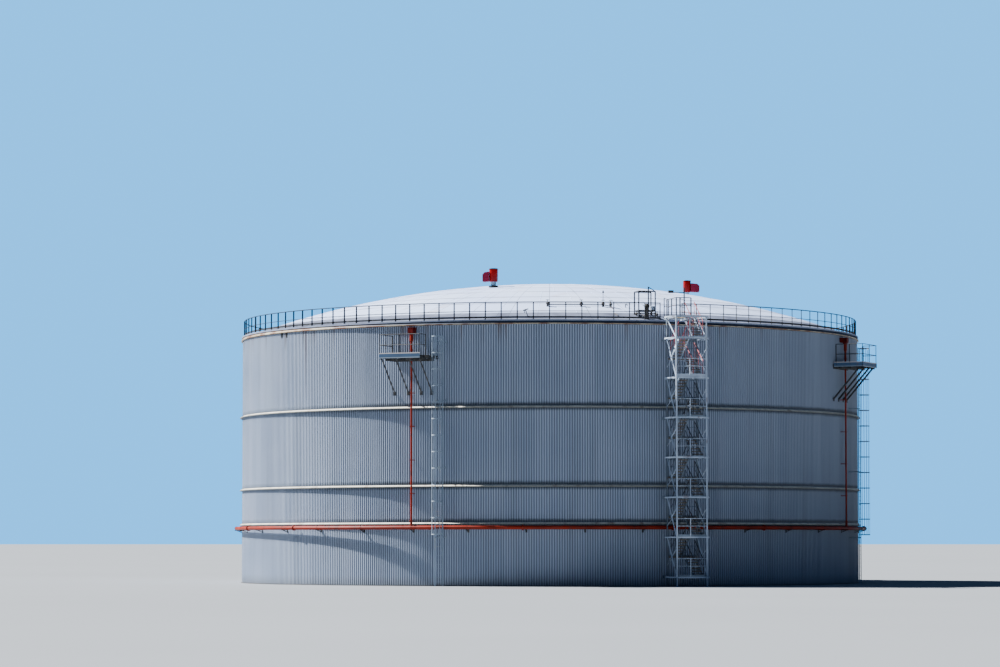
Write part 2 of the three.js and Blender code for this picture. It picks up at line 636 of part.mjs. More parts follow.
const chamberHalf = CHAMBER_WIDTH / 2;
const foamLine = join([
  sector(main, -stationTurn / 2, stationTurn / 2),
  riser(MAIN_LEVEL, CHAMBER_PIPE_BOTTOM + BITE, RISER_DIAMETER, RISER_SIDES),
  riser(CHAMBER_PIPE_BOTTOM, CHAMBER_BOTTOM + BITE, CHAMBER_PIPE_DIAMETER, RISER_SIDES + 2),
  outBlock([-chamberHalf, chamberHalf], [WALL_BITE, riserOut + chamberHalf], [CHAMBER_BOTTOM, CHAMBER_TOP]),
  ...brackets,
]).subtract(stationCutter);

// Foam platform: a deck with a toe board, struts down to the wall, and rails on posts
const deckUnder = DECK_TOP - DECK_THICKNESS;
const deckJoint = deckUnder + BITE; // where struts and posts start
const toe = [deckUnder, DECK_TOP + DECK_TOE];
const railTop = DECK_TOP + DECK_RAIL;
const railSide = DECK_HALF_LENGTH - DECK_RAIL_INSET;
const railOut = DECK_OUTER - DECK_RAIL_INSET;
const railPosts = [
  [-railSide, railOut],
  [0, railOut],
  [railSide, railOut],
  [-railSide, DECK_RAIL_END],
  [railSide, DECK_GATE],
];
const deckRails = [DECK_KNEE_RAIL, DECK_RAIL].flatMap((height) => {
  const z = DECK_TOP + height;
  return [
    outBar([-railSide, railOut, z], [railSide, railOut, z], DECK_RAIL_SIZE),
    outBar([-railSide, railOut + BITE, z], [-railSide, DECK_RAIL_END - BITE, z], DECK_RAIL_SIZE),
    outBar([railSide, railOut + BITE, z], [railSide, DECK_GATE - BITE, z], DECK_RAIL_SIZE),
  ];
});
const riserRoom = RISER_DIAMETER / 2 + RISER_ROOM;
const riserHole = [-riserRoom, riserRoom];
const riserHoleOut = riserHole.map((room) => riserOut + room);
const riserCut = outBlock(riserHole, riserHoleOut, [deckUnder - OVERCUT, DECK_TOP + OVERCUT]);
const foamPlatform = join([
  outBlock([-DECK_HALF_LENGTH, DECK_HALF_LENGTH], [WALL_BITE, DECK_OUTER], [deckUnder, DECK_TOP]),
  outBlock([DECK_HALF_LENGTH - BITE, DECK_STEP_END], [WALL_BITE, DECK_STEP_OUTER], [deckUnder, DECK_TOP]),
  outBlock([-DECK_HALF_LENGTH, DECK_HALF_LENGTH], [DECK_OUTER - DECK_TOE_THICKNESS, DECK_OUTER], toe),
  outBlock([-DECK_HALF_LENGTH, -DECK_HALF_LENGTH + DECK_TOE_THICKNESS], [WALL_BITE, DECK_OUTER], toe),
  ...STRUT_PLACES.map((x) => outBar([x, STRUT_TOP, deckJoint], [x, WALL_BITE, STRUT_FOOT], STRUT_SIZE)),
  ...railPosts.map(([x, out]) => outBar([x, out, deckJoint], [x, out, railTop], DECK_RAIL_SIZE)),
  ...deckRails,
]).subtract(riserCut).subtract(stationCutter);

// Caged ladder: stringers down to the ground, hoops with a rung at each, and wall brackets
const halfLadder = LADDER_WIDTH / 2;
const hoopLine = [
  [halfLadder + BITE, 0],
  [CAGE_WIDTH / 2, CAGE_SHOULDER],
  [0, CAGE_REACH],
  [-CAGE_WIDTH / 2, CAGE_SHOULDER],
  [-halfLadder - BITE, 0],
];
const hoopPoint = (x, reach) => new THREE.Vector2(m(x), -m(LADDER_RADIUS + reach));
const hoopShape = new THREE.Shape([
  ...hoopLine.map(([x, reach]) => hoopPoint(x, reach)),
  ...hoopLine.map(([x, reach]) => hoopPoint(x * HOOP_INNER.across, reach * HOOP_INNER.reach)).reverse(),
]);
const hoop = toSolid(new THREE.ExtrudeGeometry(hoopShape, { depth: m(HOOP_HEIGHT), bevelEnabled: false }));
const hoopLevels = Array.from({ length: HOOPS }, (_, i) => HOOP_BOTTOM + i * HOOP_SPACING);
const rungLevels = Array.from({ length: HOOPS + RUNGS_BELOW_HOOPS }, (_, i) =>
  HOOP_BOTTOM + (i - RUNGS_BELOW_HOOPS - 0.5) * HOOP_SPACING);
const stringerOut = [LADDER_RADIUS - LADDER_STRINGER / 2, LADDER_RADIUS + LADDER_STRINGER / 2];
const ladderSide = (x) => join([
  outBlock([x - LADDER_STRINGER / 2, x + LADDER_STRINGER / 2], stringerOut, [0, LADDER_TOP]),
  ...LADDER_BRACKETS.map((z) => outBar([x, LADDER_RADIUS, z], [x, WALL_BITE, z], LADDER_BRACKET)),
]);
const rung = (z) => outBar([-halfLadder, LADDER_RADIUS, z], [halfLadder, LADDER_RADIUS, z], RUNG_SIZE, 3);
const ladder = join([
  ladderSide(-halfLadder),
  ladderSide(halfLadder),
  ...hoopLevels.map((z) => hoop.translate([0, 0, m(z)])),
  ...rungLevels.map(rung),
]).subtract(wallCutter(STATION_START + LADDER_TURN));

for (let i = 0; i < STATIONS; i += 1) {
  const angle = STATION_START + i * stationTurn;
  group.add(frameAt(
    angle,
    piece(`foam_line_${i + 1}`, foamLine, FOAM),
    piece(`foam_platform_${i + 1}`, foamPlatform, TOWER),
  ));
  group.add(frameAt(angle + LADDER_TURN, piece(`caged_ladder_${i + 1}`, ladder, RAILING)));
}

// Roof vents: a flanged neck, a drum with a tapered cap, and a cowl box at its side
for (const { name, x, y, drum, height, cowl, reach } of VENTS) {
  const base = domeHeight(Math.hypot(x, y));
  const neckTop = base + VENT_NECK;
  const neck = drum * VENT_SHARES.neck;
  const flange = drum * VENT_SHARES.flange;
  const cowlHalf = drum * VENT_SHARES.cowl;
  const lathed = turned([
    [0, base - VENT_SINK],
    [flange, base - VENT_SINK],
    [flange, base + VENT_FLANGE],
    [neck, base + VENT_FLANGE],
    [neck, neckTop],
    [drum / 2, neckTop],
    [drum / 2, neckTop + height * CAP_START],
    [drum * VENT_SHARES.cap, neckTop + height],
    [0, neckTop + height],
  ], VENT_SIDES, 0);
  const box = block(
    [cowl * (drum / 2 - VENT_FLANGE), cowl * (drum / 2 + reach)].sort((a, b) => a - b).map(m),
    [-cowlHalf, cowlHalf].map(m),
    [neckTop, neckTop + height * COWL_TOP].map(m),
  );
  const vent = lathed.add(box).translate([m(x), m(y), 0]).subtract(roofCutter);
  group.add(piece(name, vent, VENT));
}

export default group;
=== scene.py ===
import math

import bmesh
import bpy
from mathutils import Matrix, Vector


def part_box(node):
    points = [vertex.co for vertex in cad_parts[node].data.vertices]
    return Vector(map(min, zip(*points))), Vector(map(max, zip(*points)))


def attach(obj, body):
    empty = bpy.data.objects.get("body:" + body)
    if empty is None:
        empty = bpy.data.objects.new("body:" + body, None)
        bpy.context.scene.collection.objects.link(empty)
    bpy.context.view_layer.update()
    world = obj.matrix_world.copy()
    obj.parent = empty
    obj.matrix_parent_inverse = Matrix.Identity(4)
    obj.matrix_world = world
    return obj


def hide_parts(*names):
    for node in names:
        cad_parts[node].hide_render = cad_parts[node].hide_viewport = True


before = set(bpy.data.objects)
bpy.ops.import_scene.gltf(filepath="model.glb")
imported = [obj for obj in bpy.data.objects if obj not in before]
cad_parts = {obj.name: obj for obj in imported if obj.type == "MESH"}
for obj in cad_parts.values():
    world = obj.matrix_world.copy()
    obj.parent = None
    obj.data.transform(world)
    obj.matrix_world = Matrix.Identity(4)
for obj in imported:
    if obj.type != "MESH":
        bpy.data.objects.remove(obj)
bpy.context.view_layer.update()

# %% [markdown]
# # An insulated storage tank with its stair tower
# This lesson dresses a tank of 46 m across, at half scale, over a frame of plain solids.
# The frame gives each piece its place. The script adds what is too fine for the solids: the ribbed
# sheet, the bent flashings, the bars of the railings, the gratings, the flanges and the weather.
# All sizes are written as they are on the real tank, in metres, and halved once, when a piece is made.

SCALE = 0.5
scene = bpy.context.scene


def polar(angle, radius, height=0.0):
    """A point round the tank: the angle starts at the front and grows to the right."""
    turn = math.radians(angle)
    return Vector((radius * math.sin(turn), -radius * math.cos(turn), height))


# %% [markdown]
# ## Camera
# The picture was taken from far away with a long lens, so the tank's rings look almost flat.
# A camera could be placed by eye, but the rings' heights give it exactly: 252 m from the axis, 3 m
# above the ground, tilted up a little, with the tank's axis a little right of the middle.

# %% Camera
EYE_DISTANCE = 252
EYE_HEIGHT = 3.08
LOOK_UP = 3.53
LOOK_LEFT = 0.846
FOCAL_SHARE = 3.364  # focal length over the picture's width
SENSOR = 36

camera = bpy.data.objects.new("camera", bpy.data.cameras.new("camera"))
camera.data.sensor_width = SENSOR
camera.data.lens = FOCAL_SHARE * SENSOR
camera.data.clip_end = 4000
camera.location = Vector((0, -EYE_DISTANCE, EYE_HEIGHT)) * SCALE
camera.rotation_euler = (math.radians(90 + LOOK_UP), 0, math.radians(LOOK_LEFT))
scene.collection.objects.link(camera)
scene.camera = camera
print("camera at", tuple(camera.location), "lens", round(camera.data.lens, 1))

# %% [markdown]
# ## Finishes
# Weather is what makes a big plain tank look real: streaks run down the sheet and rust starts at cut
# edges.
# Shade is painted along each flashing and in the ribs' valleys. Each finish is built from nodes that
# read where a point is on the tank, so a streak stays in its place from every side. A small class keeps
# the calls short.

# %% A class for finishes
BUMP_DEPTH = 0.003


def paint(code):
    """A colour from its six-digit code, as the linear values that a shader takes."""
    parts = [int(code[i:i + 2], 16) / 255 for i in (0, 2, 4)]
    return (*[part / 12.92 if part < 0.04 else ((part + 0.055) / 1.055) ** 2.4 for part in parts], 1)


class Finish:
    """The nodes of one material. Its colour starts as two tones and grows coat by coat."""

    def __init__(self, name, roughness):
        self.material = bpy.data.materials.new(name)
        self.material.use_nodes = True
        self.tree = self.material.node_tree
        self.surface = self.tree.nodes["Principled BSDF"]
        self.surface.inputs["Roughness"].default_value = roughness
        self.place = self.node("ShaderNodeTexCoord").outputs["Object"]
        self.x, self.y, self.z = self.node("ShaderNodeSeparateXYZ", self.place).outputs

    def node(self, kind, *values, **settings):
        """Adds a node, sets it up, and feeds its first sockets."""
        made = self.tree.nodes.new(kind)
        for key, value in settings.items():
            setattr(made, key, value)
        for socket, value in zip(made.inputs, values):
            self.feed(socket, value)
        return made

    def feed(self, socket, value):
        """Links another node's output, or sets a number, a vector or the code of a colour."""
        if isinstance(value, bpy.types.NodeSocket):
            self.tree.links.new(value, socket)
        else:
            socket.default_value = paint(value) if isinstance(value, str) else value

    def calc(self, operation, *values):
        return self.node("ShaderNodeMath", *values, operation=operation).outputs[0]

    def times(self, first, second):
        return self.calc("MULTIPLY", first, second)

    def between(self, value, low, high, start=0.0, end=1.0):
        """Start below low, end above high, and even in between."""
        return self.node("ShaderNodeMapRange", value, low, high, start, end).outputs[0]

    def metres(self, value, low, high, start=0.0, end=1.0):
        """The same for a place on the tank, with low and high in metres of the real tank."""
        return self.between(value, low * SCALE, high * SCALE, start, end)

    def near(self, value, centre, reach):
        """One at the centre, falling to nothing at the reach on both sides."""
        away = self.calc("ABSOLUTE", self.calc("SUBTRACT", value, centre))
        return self.between(away, 0.0, reach, 1.0, 0.0)

    def noise(self, scale, stretch=(1, 1, 1), detail=4.0, place=None):
        mapping = self.node("ShaderNodeMapping", place or self.place)
        mapping.inputs["Scale"].default_value = stretch
        noise = self.node("ShaderNodeTexNoise", mapping.outputs[0])
        noise.inputs["Scale"].default_value = scale
        noise.inputs["Detail"].default_value = detail
        return noise.outputs["Fac"]

    def blotch(self, low, high, share, *noise):
        """Patches of noise, from nothing at low to the share at high."""
        return self.between(self.noise(*noise), low, high, 0.0, share)

    def tile_tone(self, first, second):
        """A random value for each tile of a pattern, from the tile's two numbers."""
        number = self.node("ShaderNodeCombineXYZ", first, second, 0.0).outputs[0]
        return self.node("ShaderNodeTexWhiteNoise", number, noise_dimensions="3D").outputs["Value"]

    def unrolled(self, radius):
        """The angle round the tank, and the place on its wall as if that were rolled out flat."""
        turn = self.calc("ARCTAN2", self.x, self.times(self.y, -1.0))
        return turn, self.node("ShaderNodeCombineXYZ", self.times(turn, radius), 0.0, self.z).outputs[0]

    def from_axis(self):
        flat = self.node("ShaderNodeCombineXYZ", self.x, self.y, 0.0).outputs[0]
        return self.node("ShaderNodeVectorMath", flat, operation="LENGTH").outputs["Value"]

    def tones(self, share, first, second):
        """Mixes the first two colours."""
        mixed = self.node("ShaderNodeMix", share, data_type="RGBA")
        self.feed(mixed.inputs[6], first)
        self.feed(mixed.inputs[7], second)
        self.colour = mixed.outputs[2]

    def coat(self, share, code):
        """Lays a colour over what is there."""
        self.tones(share, self.colour, code)

    def done(self, roughness=None, height=None):
        self.feed(self.surface.inputs["Base Color"], self.colour)
        if roughness is not None:
            self.feed(self.surface.inputs["Roughness"], roughness)
        if height is not None:
            bump = self.node("ShaderNodeBump")
            bump.inputs["Distance"].default_value = BUMP_DEPTH
            self.feed(bump.inputs["Height"], height)
            self.feed(self.surface.inputs["Normal"], bump.outputs[0])
        print("finish", self.material.name, "with", len(self.tree.nodes), "nodes")
        return self.material


# %% [markdown]
# ## Floor and light
# The tank stands on a plain pale floor. The sun of the picture comes from the left and a little from
# behind, so the left of the wall is bright and the rest lies in blue daylight. One sun and an even
# sky give that. A photograph of a sky could light it too, but this tank needs no detail overhead, and
# the camera simply sees a brighter blue in the sky's place.

# %% Floor and light
SUN_FROM = (-0.95, 0.312)
SUN_HEIGHT = 45
FLOOR_RADIUS = 1500
FLOOR_GAP = 0.004

floor_mesh = bmesh.new()
bmesh.ops.create_circle(floor_mesh, cap_ends=True, segments=96, radius=FLOOR_RADIUS)
floor_data = bpy.data.meshes.new("floor")
floor_mesh.to_mesh(floor_data)
floor_mesh.free()
floor = bpy.data.objects.new("floor", floor_data)
floor.location.z = -FLOOR_GAP
scene.collection.objects.link(floor)
pale = Finish("pale_floor", 0.9)
pale.tones(pale.noise(0.05), "7B8086", "83888E")
floor_data.materials.append(pale.done())

sun = bpy.data.objects.new("sun", bpy.data.lights.new("sun", "SUN"))
sun.data.energy = 19
sun.data.angle = math.radians(1)
sun.data.color = (1.0, 0.995, 0.98)
flat = math.cos(math.radians(SUN_HEIGHT))
to_sun = Vector((SUN_FROM[0] * flat, SUN_FROM[1] * flat, math.sin(math.radians(SUN_HEIGHT))))
sun.rotation_euler = to_sun.to_track_quat("Z", "Y").to_euler()
scene.collection.objects.link(sun)
scene.world = bpy.data.worlds.new("daylight")
scene.world.use_nodes = True
nodes, links = scene.world.node_tree.nodes, scene.world.node_tree.links
sky = nodes["Background"]
sky.inputs["Color"].default_value = paint("82B2F0")
sky.inputs["Strength"].default_value = 0.19
backdrop = nodes.new("ShaderNodeBackground")
backdrop.inputs["Color"].default_value = paint("4EB2FF")
backdrop.inputs["Strength"].default_value = 2.1
seen = nodes.new("ShaderNodeMixShader")
links.new(nodes.new("ShaderNodeLightPath").outputs["Is Camera Ray"], seen.inputs[0])
links.new(sky.outputs[0], seen.inputs[1])
links.new(backdrop.outputs[0], seen.inputs[2])
links.new(seen.outputs[0], nodes["World Output"].inputs["Surface"])
print("sun from", tuple(round(part, 2) for part in to_sun))

# %% [markdown]
# ## Shapes from bars, rings and tubes
# Nearly all of this tank is rolled or cut steel: straight bars, bars rolled to a ring, and pipes.
# One could place Blender's ready cylinders and cubes, but their ends and sections would all be alike.
# Here a section is drawn as a face, and a face is either pushed along a line or spun round the axis.

# %% Sections of bars
def flat_bar(wide, deep, x=0.0, y=0.0):
    return [(x - wide / 2, y - deep / 2), (x + wide / 2, y - deep / 2),
            (x + wide / 2, y + deep / 2), (x - wide / 2, y + deep / 2)]


def channel(deep, flange, plate):
    """The section of a rolled channel that is open towards positive x."""
    h = deep / 2
    return [(0, -h), (flange, -h), (flange, plate - h), (plate, plate - h),
            (plate, h - plate), (flange, h - plate), (flange, h), (0, h)]


def angle_bar(leg, plate):
    """The section of an angle bar with its corner at the origin."""
    return [(0, 0), (leg, 0), (leg, plate), (plate, plate), (plate, leg), (0, leg)]


corners = [len(section) for section in (flat_bar(1, 1), channel(1, 1, 0.1), angle_bar(1, 0.1))]
print("corners of a flat bar, a channel and an angle bar:", corners)


# %% Bars from pushed faces
def push(mesh, face, along):
    """Extrudes a face along a vector into a closed prism."""
    grown = bmesh.ops.extrude_face_region(mesh, geom=[face])["geom"]
    grown = [item for item in grown if isinstance(item, bmesh.types.BMVert)]
    bmesh.ops.translate(mesh, vec=along, verts=grown)


def bar(mesh, start, end, section, up=(0, 0, 1)):
    """A bar between two points. Its section is a list of (across, upwards) points, or one width."""
    start, end = Vector(start), Vector(end)
    along = end - start
    upwards = Vector(up) if abs(along.normalized().dot(Vector(up))) < 0.98 else Vector((0, 1, 0))
    across = along.cross(upwards).normalized()
    upwards = across.cross(along).normalized()
    if isinstance(section, (int, float)):
        section = flat_bar(section, section)
    face = mesh.faces.new([mesh.verts.new(start + across * a + upwards * u) for a, u in section])
    push(mesh, face, along)


def upright(mesh, x, y, low, high, section, up=(0, 1, 0)):
    """A bar that stands upright, from low to high."""
    bar(mesh, (x, y, low), (x, y, high), section, up)


sample = bmesh.new()
bar(sample, (0, 0, 0), (0, 1, 0), channel(0.1, 0.05, 0.01))
print("faces of a bar of channel:", len(sample.faces))
sample.free()


# %% Tubes and plates
def tube(mesh, start, end, width, sides=10, end_width=None):
    """A round bar or a cone between two points."""
    start, end = Vector(start), Vector(end)
    along = end - start
    matrix = Matrix.Translation((start + end) / 2) @ along.to_track_quat("Z", "Y").to_matrix().to_4x4()
    return bmesh.ops.create_cone(
        mesh, cap_ends=True, segments=sides, radius1=width / 2,
        radius2=(end_width or width) / 2, depth=along.length, matrix=matrix)["verts"]


def plate(mesh, x, y, z):
    """A plate between two corners."""
    size = Matrix.Diagonal((x[1] - x[0], y[1] - y[0], z[1] - z[0], 1))
    middle = Matrix.Translation((sum(x) / 2, sum(y) / 2, sum(z) / 2))
    bmesh.ops.create_cube(mesh, size=1, matrix=middle @ size)


def edge_frame(mesh, x, y, z, along_y, along_x=None):
    """Flat bars along the edges of a rectangle: the width of the two along y, and of the other two."""
    along_x = along_x or along_y
    for here in (x[0], x[1] - along_y):
        plate(mesh, (here, here + along_y), y, z)
    for here in (y[0], y[1] - along_x):
        plate(mesh, x, (here, here + along_x), z)


sample = bmesh.new()
edge_frame(sample, (0, 1), (0, 1), (0, 1), 0.1)
print("faces of a frame of four flat bars:", len(sample.faces))
sample.free()


# %% Rings and copies round an axis
def ring(mesh, section, degrees=360, steps=120, start=0.0, centre=(0, 0)):
    """Spins a section of (radius, height) points round an upright axis, closed or with capped ends."""
    axis = Vector((centre[0], centre[1], 0))
    verts = [mesh.verts.new(axis + polar(start, radius, height)) for radius, height in section]
    face = mesh.faces.new(verts)
    geom = face.verts[:] + face.edges[:]
    if degrees == 360:
        bmesh.ops.delete(mesh, geom=[face], context="FACES_ONLY")
    else:
        geom.append(face)
    bmesh.ops.spin(mesh, geom=geom, cent=axis, axis=(0, 0, 1), angle=math.radians(degrees),
                   steps=steps, use_merge=degrees == 360)


def fill_circle(mesh, items, count):
    """Repeats a part of the mesh, given by its points, evenly round the upright axis."""
    verts = set(items)
    geom = list(verts) + [edge for edge in mesh.edges if set(edge.verts) <= verts]
    geom += [face for face in mesh.faces if set(face.verts) <= verts]
    bmesh.ops.spin(mesh, geom=geom, cent=(0, 0, 0), axis=(0, 0, 1), use_duplicate=True,
                   angle=2 * math.pi * (count - 1) / count, steps=count - 1)


def circle(width, sides, radius, height):
    """A round section, as points."""
    half, steps = width / 2, [2 * math.pi * (i + 0.5) / sides for i in range(sides)]
    return [(radius + half * math.cos(step), height + half * math.sin(step)) for step in steps]


def absorb(mesh, part, places=(Matrix(),)):
    """Adds a copy of a part to a mesh at each of some places, and frees the part."""
    for place in places:
        data = bpy.data.meshes.new("part")
        part.to_mesh(data)
        data.transform(place)
        mesh.from_mesh(data)
        bpy.data.meshes.remove(data)
    part.free()


def turned(angle):
    """A turn round the upright axis, in degrees."""
    return Matrix.Rotation(math.radians(angle), 4, "Z")


right = turned(90) @ polar(0, 1)
print("a quarter turn carries the front to", (round(right.x), round(right.y)))

# %% Finishing a piece
triangles = {}


def make(name, mesh, finish, place=Matrix(), nodes=(), smooth=None, bevel=None):
    """Turns a bmesh in real metres into a piece of the model, with its place in its mesh."""
    bmesh.ops.recalc_face_normals(mesh, faces=mesh.faces)
    if smooth:
        for face in mesh.faces:
            face.smooth = True
        for edge in mesh.edges:
            edge.smooth = edge.calc_face_angle(0) < math.radians(smooth)
    mesh.transform(Matrix.Scale(SCALE, 4) @ place)
    triangles[name] = sum(len(face.verts) - 2 for face in mesh.faces)
    data = bpy.data.meshes.new(name)
    mesh.to_mesh(data)
    mesh.free()
    data.materials.append(finish)
    piece = bpy.data.objects.new(name, data)
    scene.collection.objects.link(piece)
    if bevel:
        edge = piece.modifiers.new("edges", "BEVEL")
        edge.width, edge.segments = bevel * SCALE, 2
    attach(piece, "root")
    if nodes:
        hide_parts(*nodes)


print("each piece is made at", SCALE, "of the size it is drawn at")

# %% [markdown]
# ## Ribbed sheet
# The insulation is covered with painted sheet that is rolled into upright ribs, hung in four tiers.
# A striped texture would look the same from afar, but the ribs catch the sun on one side, so they are
# real here: one rib is drawn in plan, copied round the wall, closed with an inner line into one
# face, and that face is pushed up to the height of the tier.

# %% Finish of the ribbed sheet
RIBS = 828
RIBS_A_SHEET = 6
RIB_VALLEY, RIB_CREST = 22.885, 22.948
WALL_FACE = 22.955  # where fittings stand against the crests
STREAKS = [  # angle, length, share
    (-48.4, 5.0, 0.95), (-15.1, 1.6, 0.7), (-7.3, 1.4, 0.7), (31.0, 1.2, 0.6)]
# Near-black patches under the eaves: torn strips, with the shade in their gaps painted in.
TORN_AND_SHADED = [(-56.3, 0.012), (-54.6, 0.01)]  # angle of a torn strip, half width in radians
BELTS = {"lower": 4.3, "middle": 6.86, "upper": 12.25}
WALL_TOP = 17.88


def ribbed_sheet_finish():
    """Blue-grey sheets under rusty streaks and drips, with painted shade in the ribs' valleys and along
    the belts.
    """
    f = Finish("ribbed_sheet", 0.55)
    turn, along = f.unrolled(22.95 * SCALE)
    tier = 0.0
    for level in BELTS.values():
        tier = f.calc("ADD", tier, f.calc("GREATER_THAN", f.z, level * SCALE))
    sheet = f.calc("FLOOR", f.times(turn, RIBS / RIBS_A_SHEET / (2 * math.pi)))
    f.tones(f.tile_tone(sheet, tier), "93A2BA", "A1AFC6")
    cloud = f.blotch(0.35, 0.68, 1.0, 0.35, (1, 1, 1.6), 3.0, along)
    f.coat(f.times(cloud, 0.4), "ADB9CC")
    f.coat(f.blotch(0.5, 0.78, 0.3, 2.2, (1, 1, 0.06), 5.0, along), "6F7985")
    # Painted shade at the foot of each valley, strongest round the sunlit left.
    valley_shade = f.metres(f.from_axis(), RIB_VALLEY + 0.004, RIB_VALLEY + 0.03, 1.0, 0.0)
    sunny_side_share = f.between(f.calc("ABSOLUTE", f.calc("ADD", turn, 0.87)), 0.2, 0.45, 0.96, 0.6)
    f.coat(f.times(valley_shade, sunny_side_share), "27313E")
    # Painted shade in a band just above and below each belt, weaker on the sunlit left.
    ragged = f.calc("ADD", f.z, f.times(f.noise(3.0, (1, 1, 0.3), 4.0, along), -0.06))
    away_from_sun = f.metres(f.x, -18.5, -11.0, 0.3, 0.8)
    for level in BELTS.values():
        away = f.calc("ABSOLUTE", f.calc("SUBTRACT", ragged, (level - 0.04) * SCALE))
        f.coat(f.times(f.between(away, 0.085, 0.17, 1.0, 0.0), away_from_sun), "26303B")
    ragged = f.calc("ADD", turn, f.times(f.noise(1.2, (1, 1, 1), 5.0, along), 0.006))
    for angle, length, share in STREAKS:
        drop = f.metres(f.z, WALL_TOP - length, WALL_TOP, 0.0, share)
        f.coat(f.times(f.near(ragged, math.radians(angle), 0.0045), drop), "5A3B22")
    drip = f.blotch(0.56, 0.72, 0.75, 3.2, (1, 1, 0.05), 6.0, along)
    f.coat(f.times(drip, f.metres(f.z, WALL_TOP - 1.5, WALL_TOP)), "5C4A3C")
    f.coat(f.metres(f.z, 0.7, 0.0, 0.0, 0.45), "6B6A62")
    # Near-black torn strips under the eaves, with painted shade in their gaps.
    torn_and_shaded = f.calc("MAXIMUM", *[f.near(turn, math.radians(angle), reach) for angle, reach in TORN_AND_SHADED])
    torn_and_shaded = f.times(torn_and_shaded, f.metres(f.z, 17.42, 17.6))
    f.coat(f.between(torn_and_shaded, 0.3, 0.5), "101317")
    # Darker round the tank's right side.
    darker_right = f.times(f.between(turn, 0.35, 1.35, 0.0, 0.4), f.between(turn, 1.7, 2.9, 1.0, 0.0))
    f.coat(darker_right, "4E5258")
    return f.done(f.between(cloud, 0.0, 1.0, 0.5, 0.66))


RIBBED_SHEET = ribbed_sheet_finish()

# %% Ribbed sheet, six segments of four tiers
FIRST_JOINT = -21
SEGMENTS = 6
SHEET_BACK = 22.8
RIB_TURN = 360 / RIBS
RIB_SHAPE = [(0, RIB_VALLEY), (0.34, RIB_VALLEY), (0.56, RIB_CREST), (0.86, RIB_CREST), (1, RIB_VALLEY)]
TIER_ENDS = [0.05, *BELTS.values(), WALL_TOP - 0.005]


def ribbed_tier(mesh, start, low, high):
    """One tier of one segment: its plan as a face, pushed up."""
    count = RIBS // SEGMENTS
    rib = [mesh.verts.new(polar(start + share * RIB_TURN, radius, low)) for share, radius in RIB_SHAPE]
    edges = [mesh.edges.new(pair) for pair in zip(rib, rib[1:])]
    bmesh.ops.spin(mesh, geom=rib + edges, cent=(0, 0, 0), axis=(0, 0, 1), use_duplicate=True,
                   angle=math.radians(RIB_TURN * (count - 1)), steps=count - 1)
    bmesh.ops.remove_doubles(mesh, verts=[v for v in mesh.verts if not v.link_faces], dist=1e-4)
    back = mesh.verts.new(polar(start, SHEET_BACK, low))
    bmesh.ops.spin(mesh, geom=[back], cent=(0, 0, 0), axis=(0, 0, 1),
                   angle=math.radians(360 / SEGMENTS), steps=12)
    ends = [vert for vert in mesh.verts if len(vert.link_edges) == 1]
    ends.sort(key=lambda vert: (vert.co - polar(start, SHEET_BACK, low)).length)
    mesh.edges.new(ends[:2])
    mesh.edges.new(ends[2:])
    plan = [edge for edge in mesh.edges if not edge.link_faces]
    push(mesh, bmesh.ops.contextual_create(mesh, geom=plan)["faces"][0], (0, 0, high - low))


for i in range(SEGMENTS):
    sheet_mesh = bmesh.new()
    for low, high in zip(TIER_ENDS, TIER_ENDS[1:]):
        ribbed_tier(sheet_mesh, FIRST_JOINT + i * 360 / SEGMENTS, low, high - 0.01)
    make(f"ribbed_sheet_{i + 1}", sheet_mesh, RIBBED_SHEET, nodes=[f"wall_segment_{i + 1}"])
print("ribs:", RIBS, "triangles in a segment:", triangles["ribbed_sheet_1"])

# %% [markdown]
# ## Flashings
# A flashing is a thin bent sheet that throws rain off: an upright leg against the wall, a slope, and a
# lip that hangs down. Three belts part the tiers, and one closes the wall under the roof. It is drawn
# as one closed section and spun. Short overlapping laps show where one sheet ends and the next starts.

# %% Finish of the flashings
def flashing_finish(name, light, dark, rust_low, rust_high, rust_share):
    f = Finish(name, 0.5)
    along = f.unrolled(11.5)[1]
    f.tones(f.blotch(0.35, 0.65, 1.0, 0.7, (1, 1, 1), 5.0, along), light, dark)
    f.coat(f.blotch(0.5, 0.75, 0.45, 4.0, (1, 1, 0.4), 6.0, along), "6A6258")
    f.coat(f.blotch(rust_low, rust_high, rust_share, 2.6, (1, 1, 1), 8.0, along), "7A4526")
    return f


def belt_finish():
    """Pale on the slope, with painted shade on the leg above it, and dark on the lip below it."""
    f = flashing_finish("belt_flashing", "E2DFD3", "CFCBBE", 0.56, 0.7, 0.7)
    for level in BELTS.values():
        above = f.calc("SUBTRACT", f.z, level * SCALE)
        # Painted shade on the upright leg above the slope.
        f.coat(f.times(f.metres(above, 0.04, 0.055), f.metres(above, 0.2, 0.22, 1.0, 0.0)), "3A4654")
        lip = f.calc("ABSOLUTE", f.calc("ADD", above, 0.06 * SCALE))
        f.coat(f.metres(lip, 0.02, 0.035, 0.8, 0.0), "5E5F56")
    return f.done()


def eaves_finish():
    """Rusty below, with painted shade above, under the roof's rim, that is weaker where the sun falls
    along it.
    """
    f = flashing_finish("eaves_flashing", "C9BFA8", "AE9A7C", 0.44, 0.6, 0.85)
    # Painted shade on the fascia under the roof's rim, weaker on the sunlit left.
    f.coat(f.times(f.metres(f.z, 17.93, 17.95), f.metres(f.x, -18.5, -11.0, 0.25, 1.0)), "1A2A40")
    return f.done()


# %% Belts and eaves
SHEET = 0.012  # thickness of the bent sheet with its folded edge
BELT_EDGE = 23.125
LAPS = 48


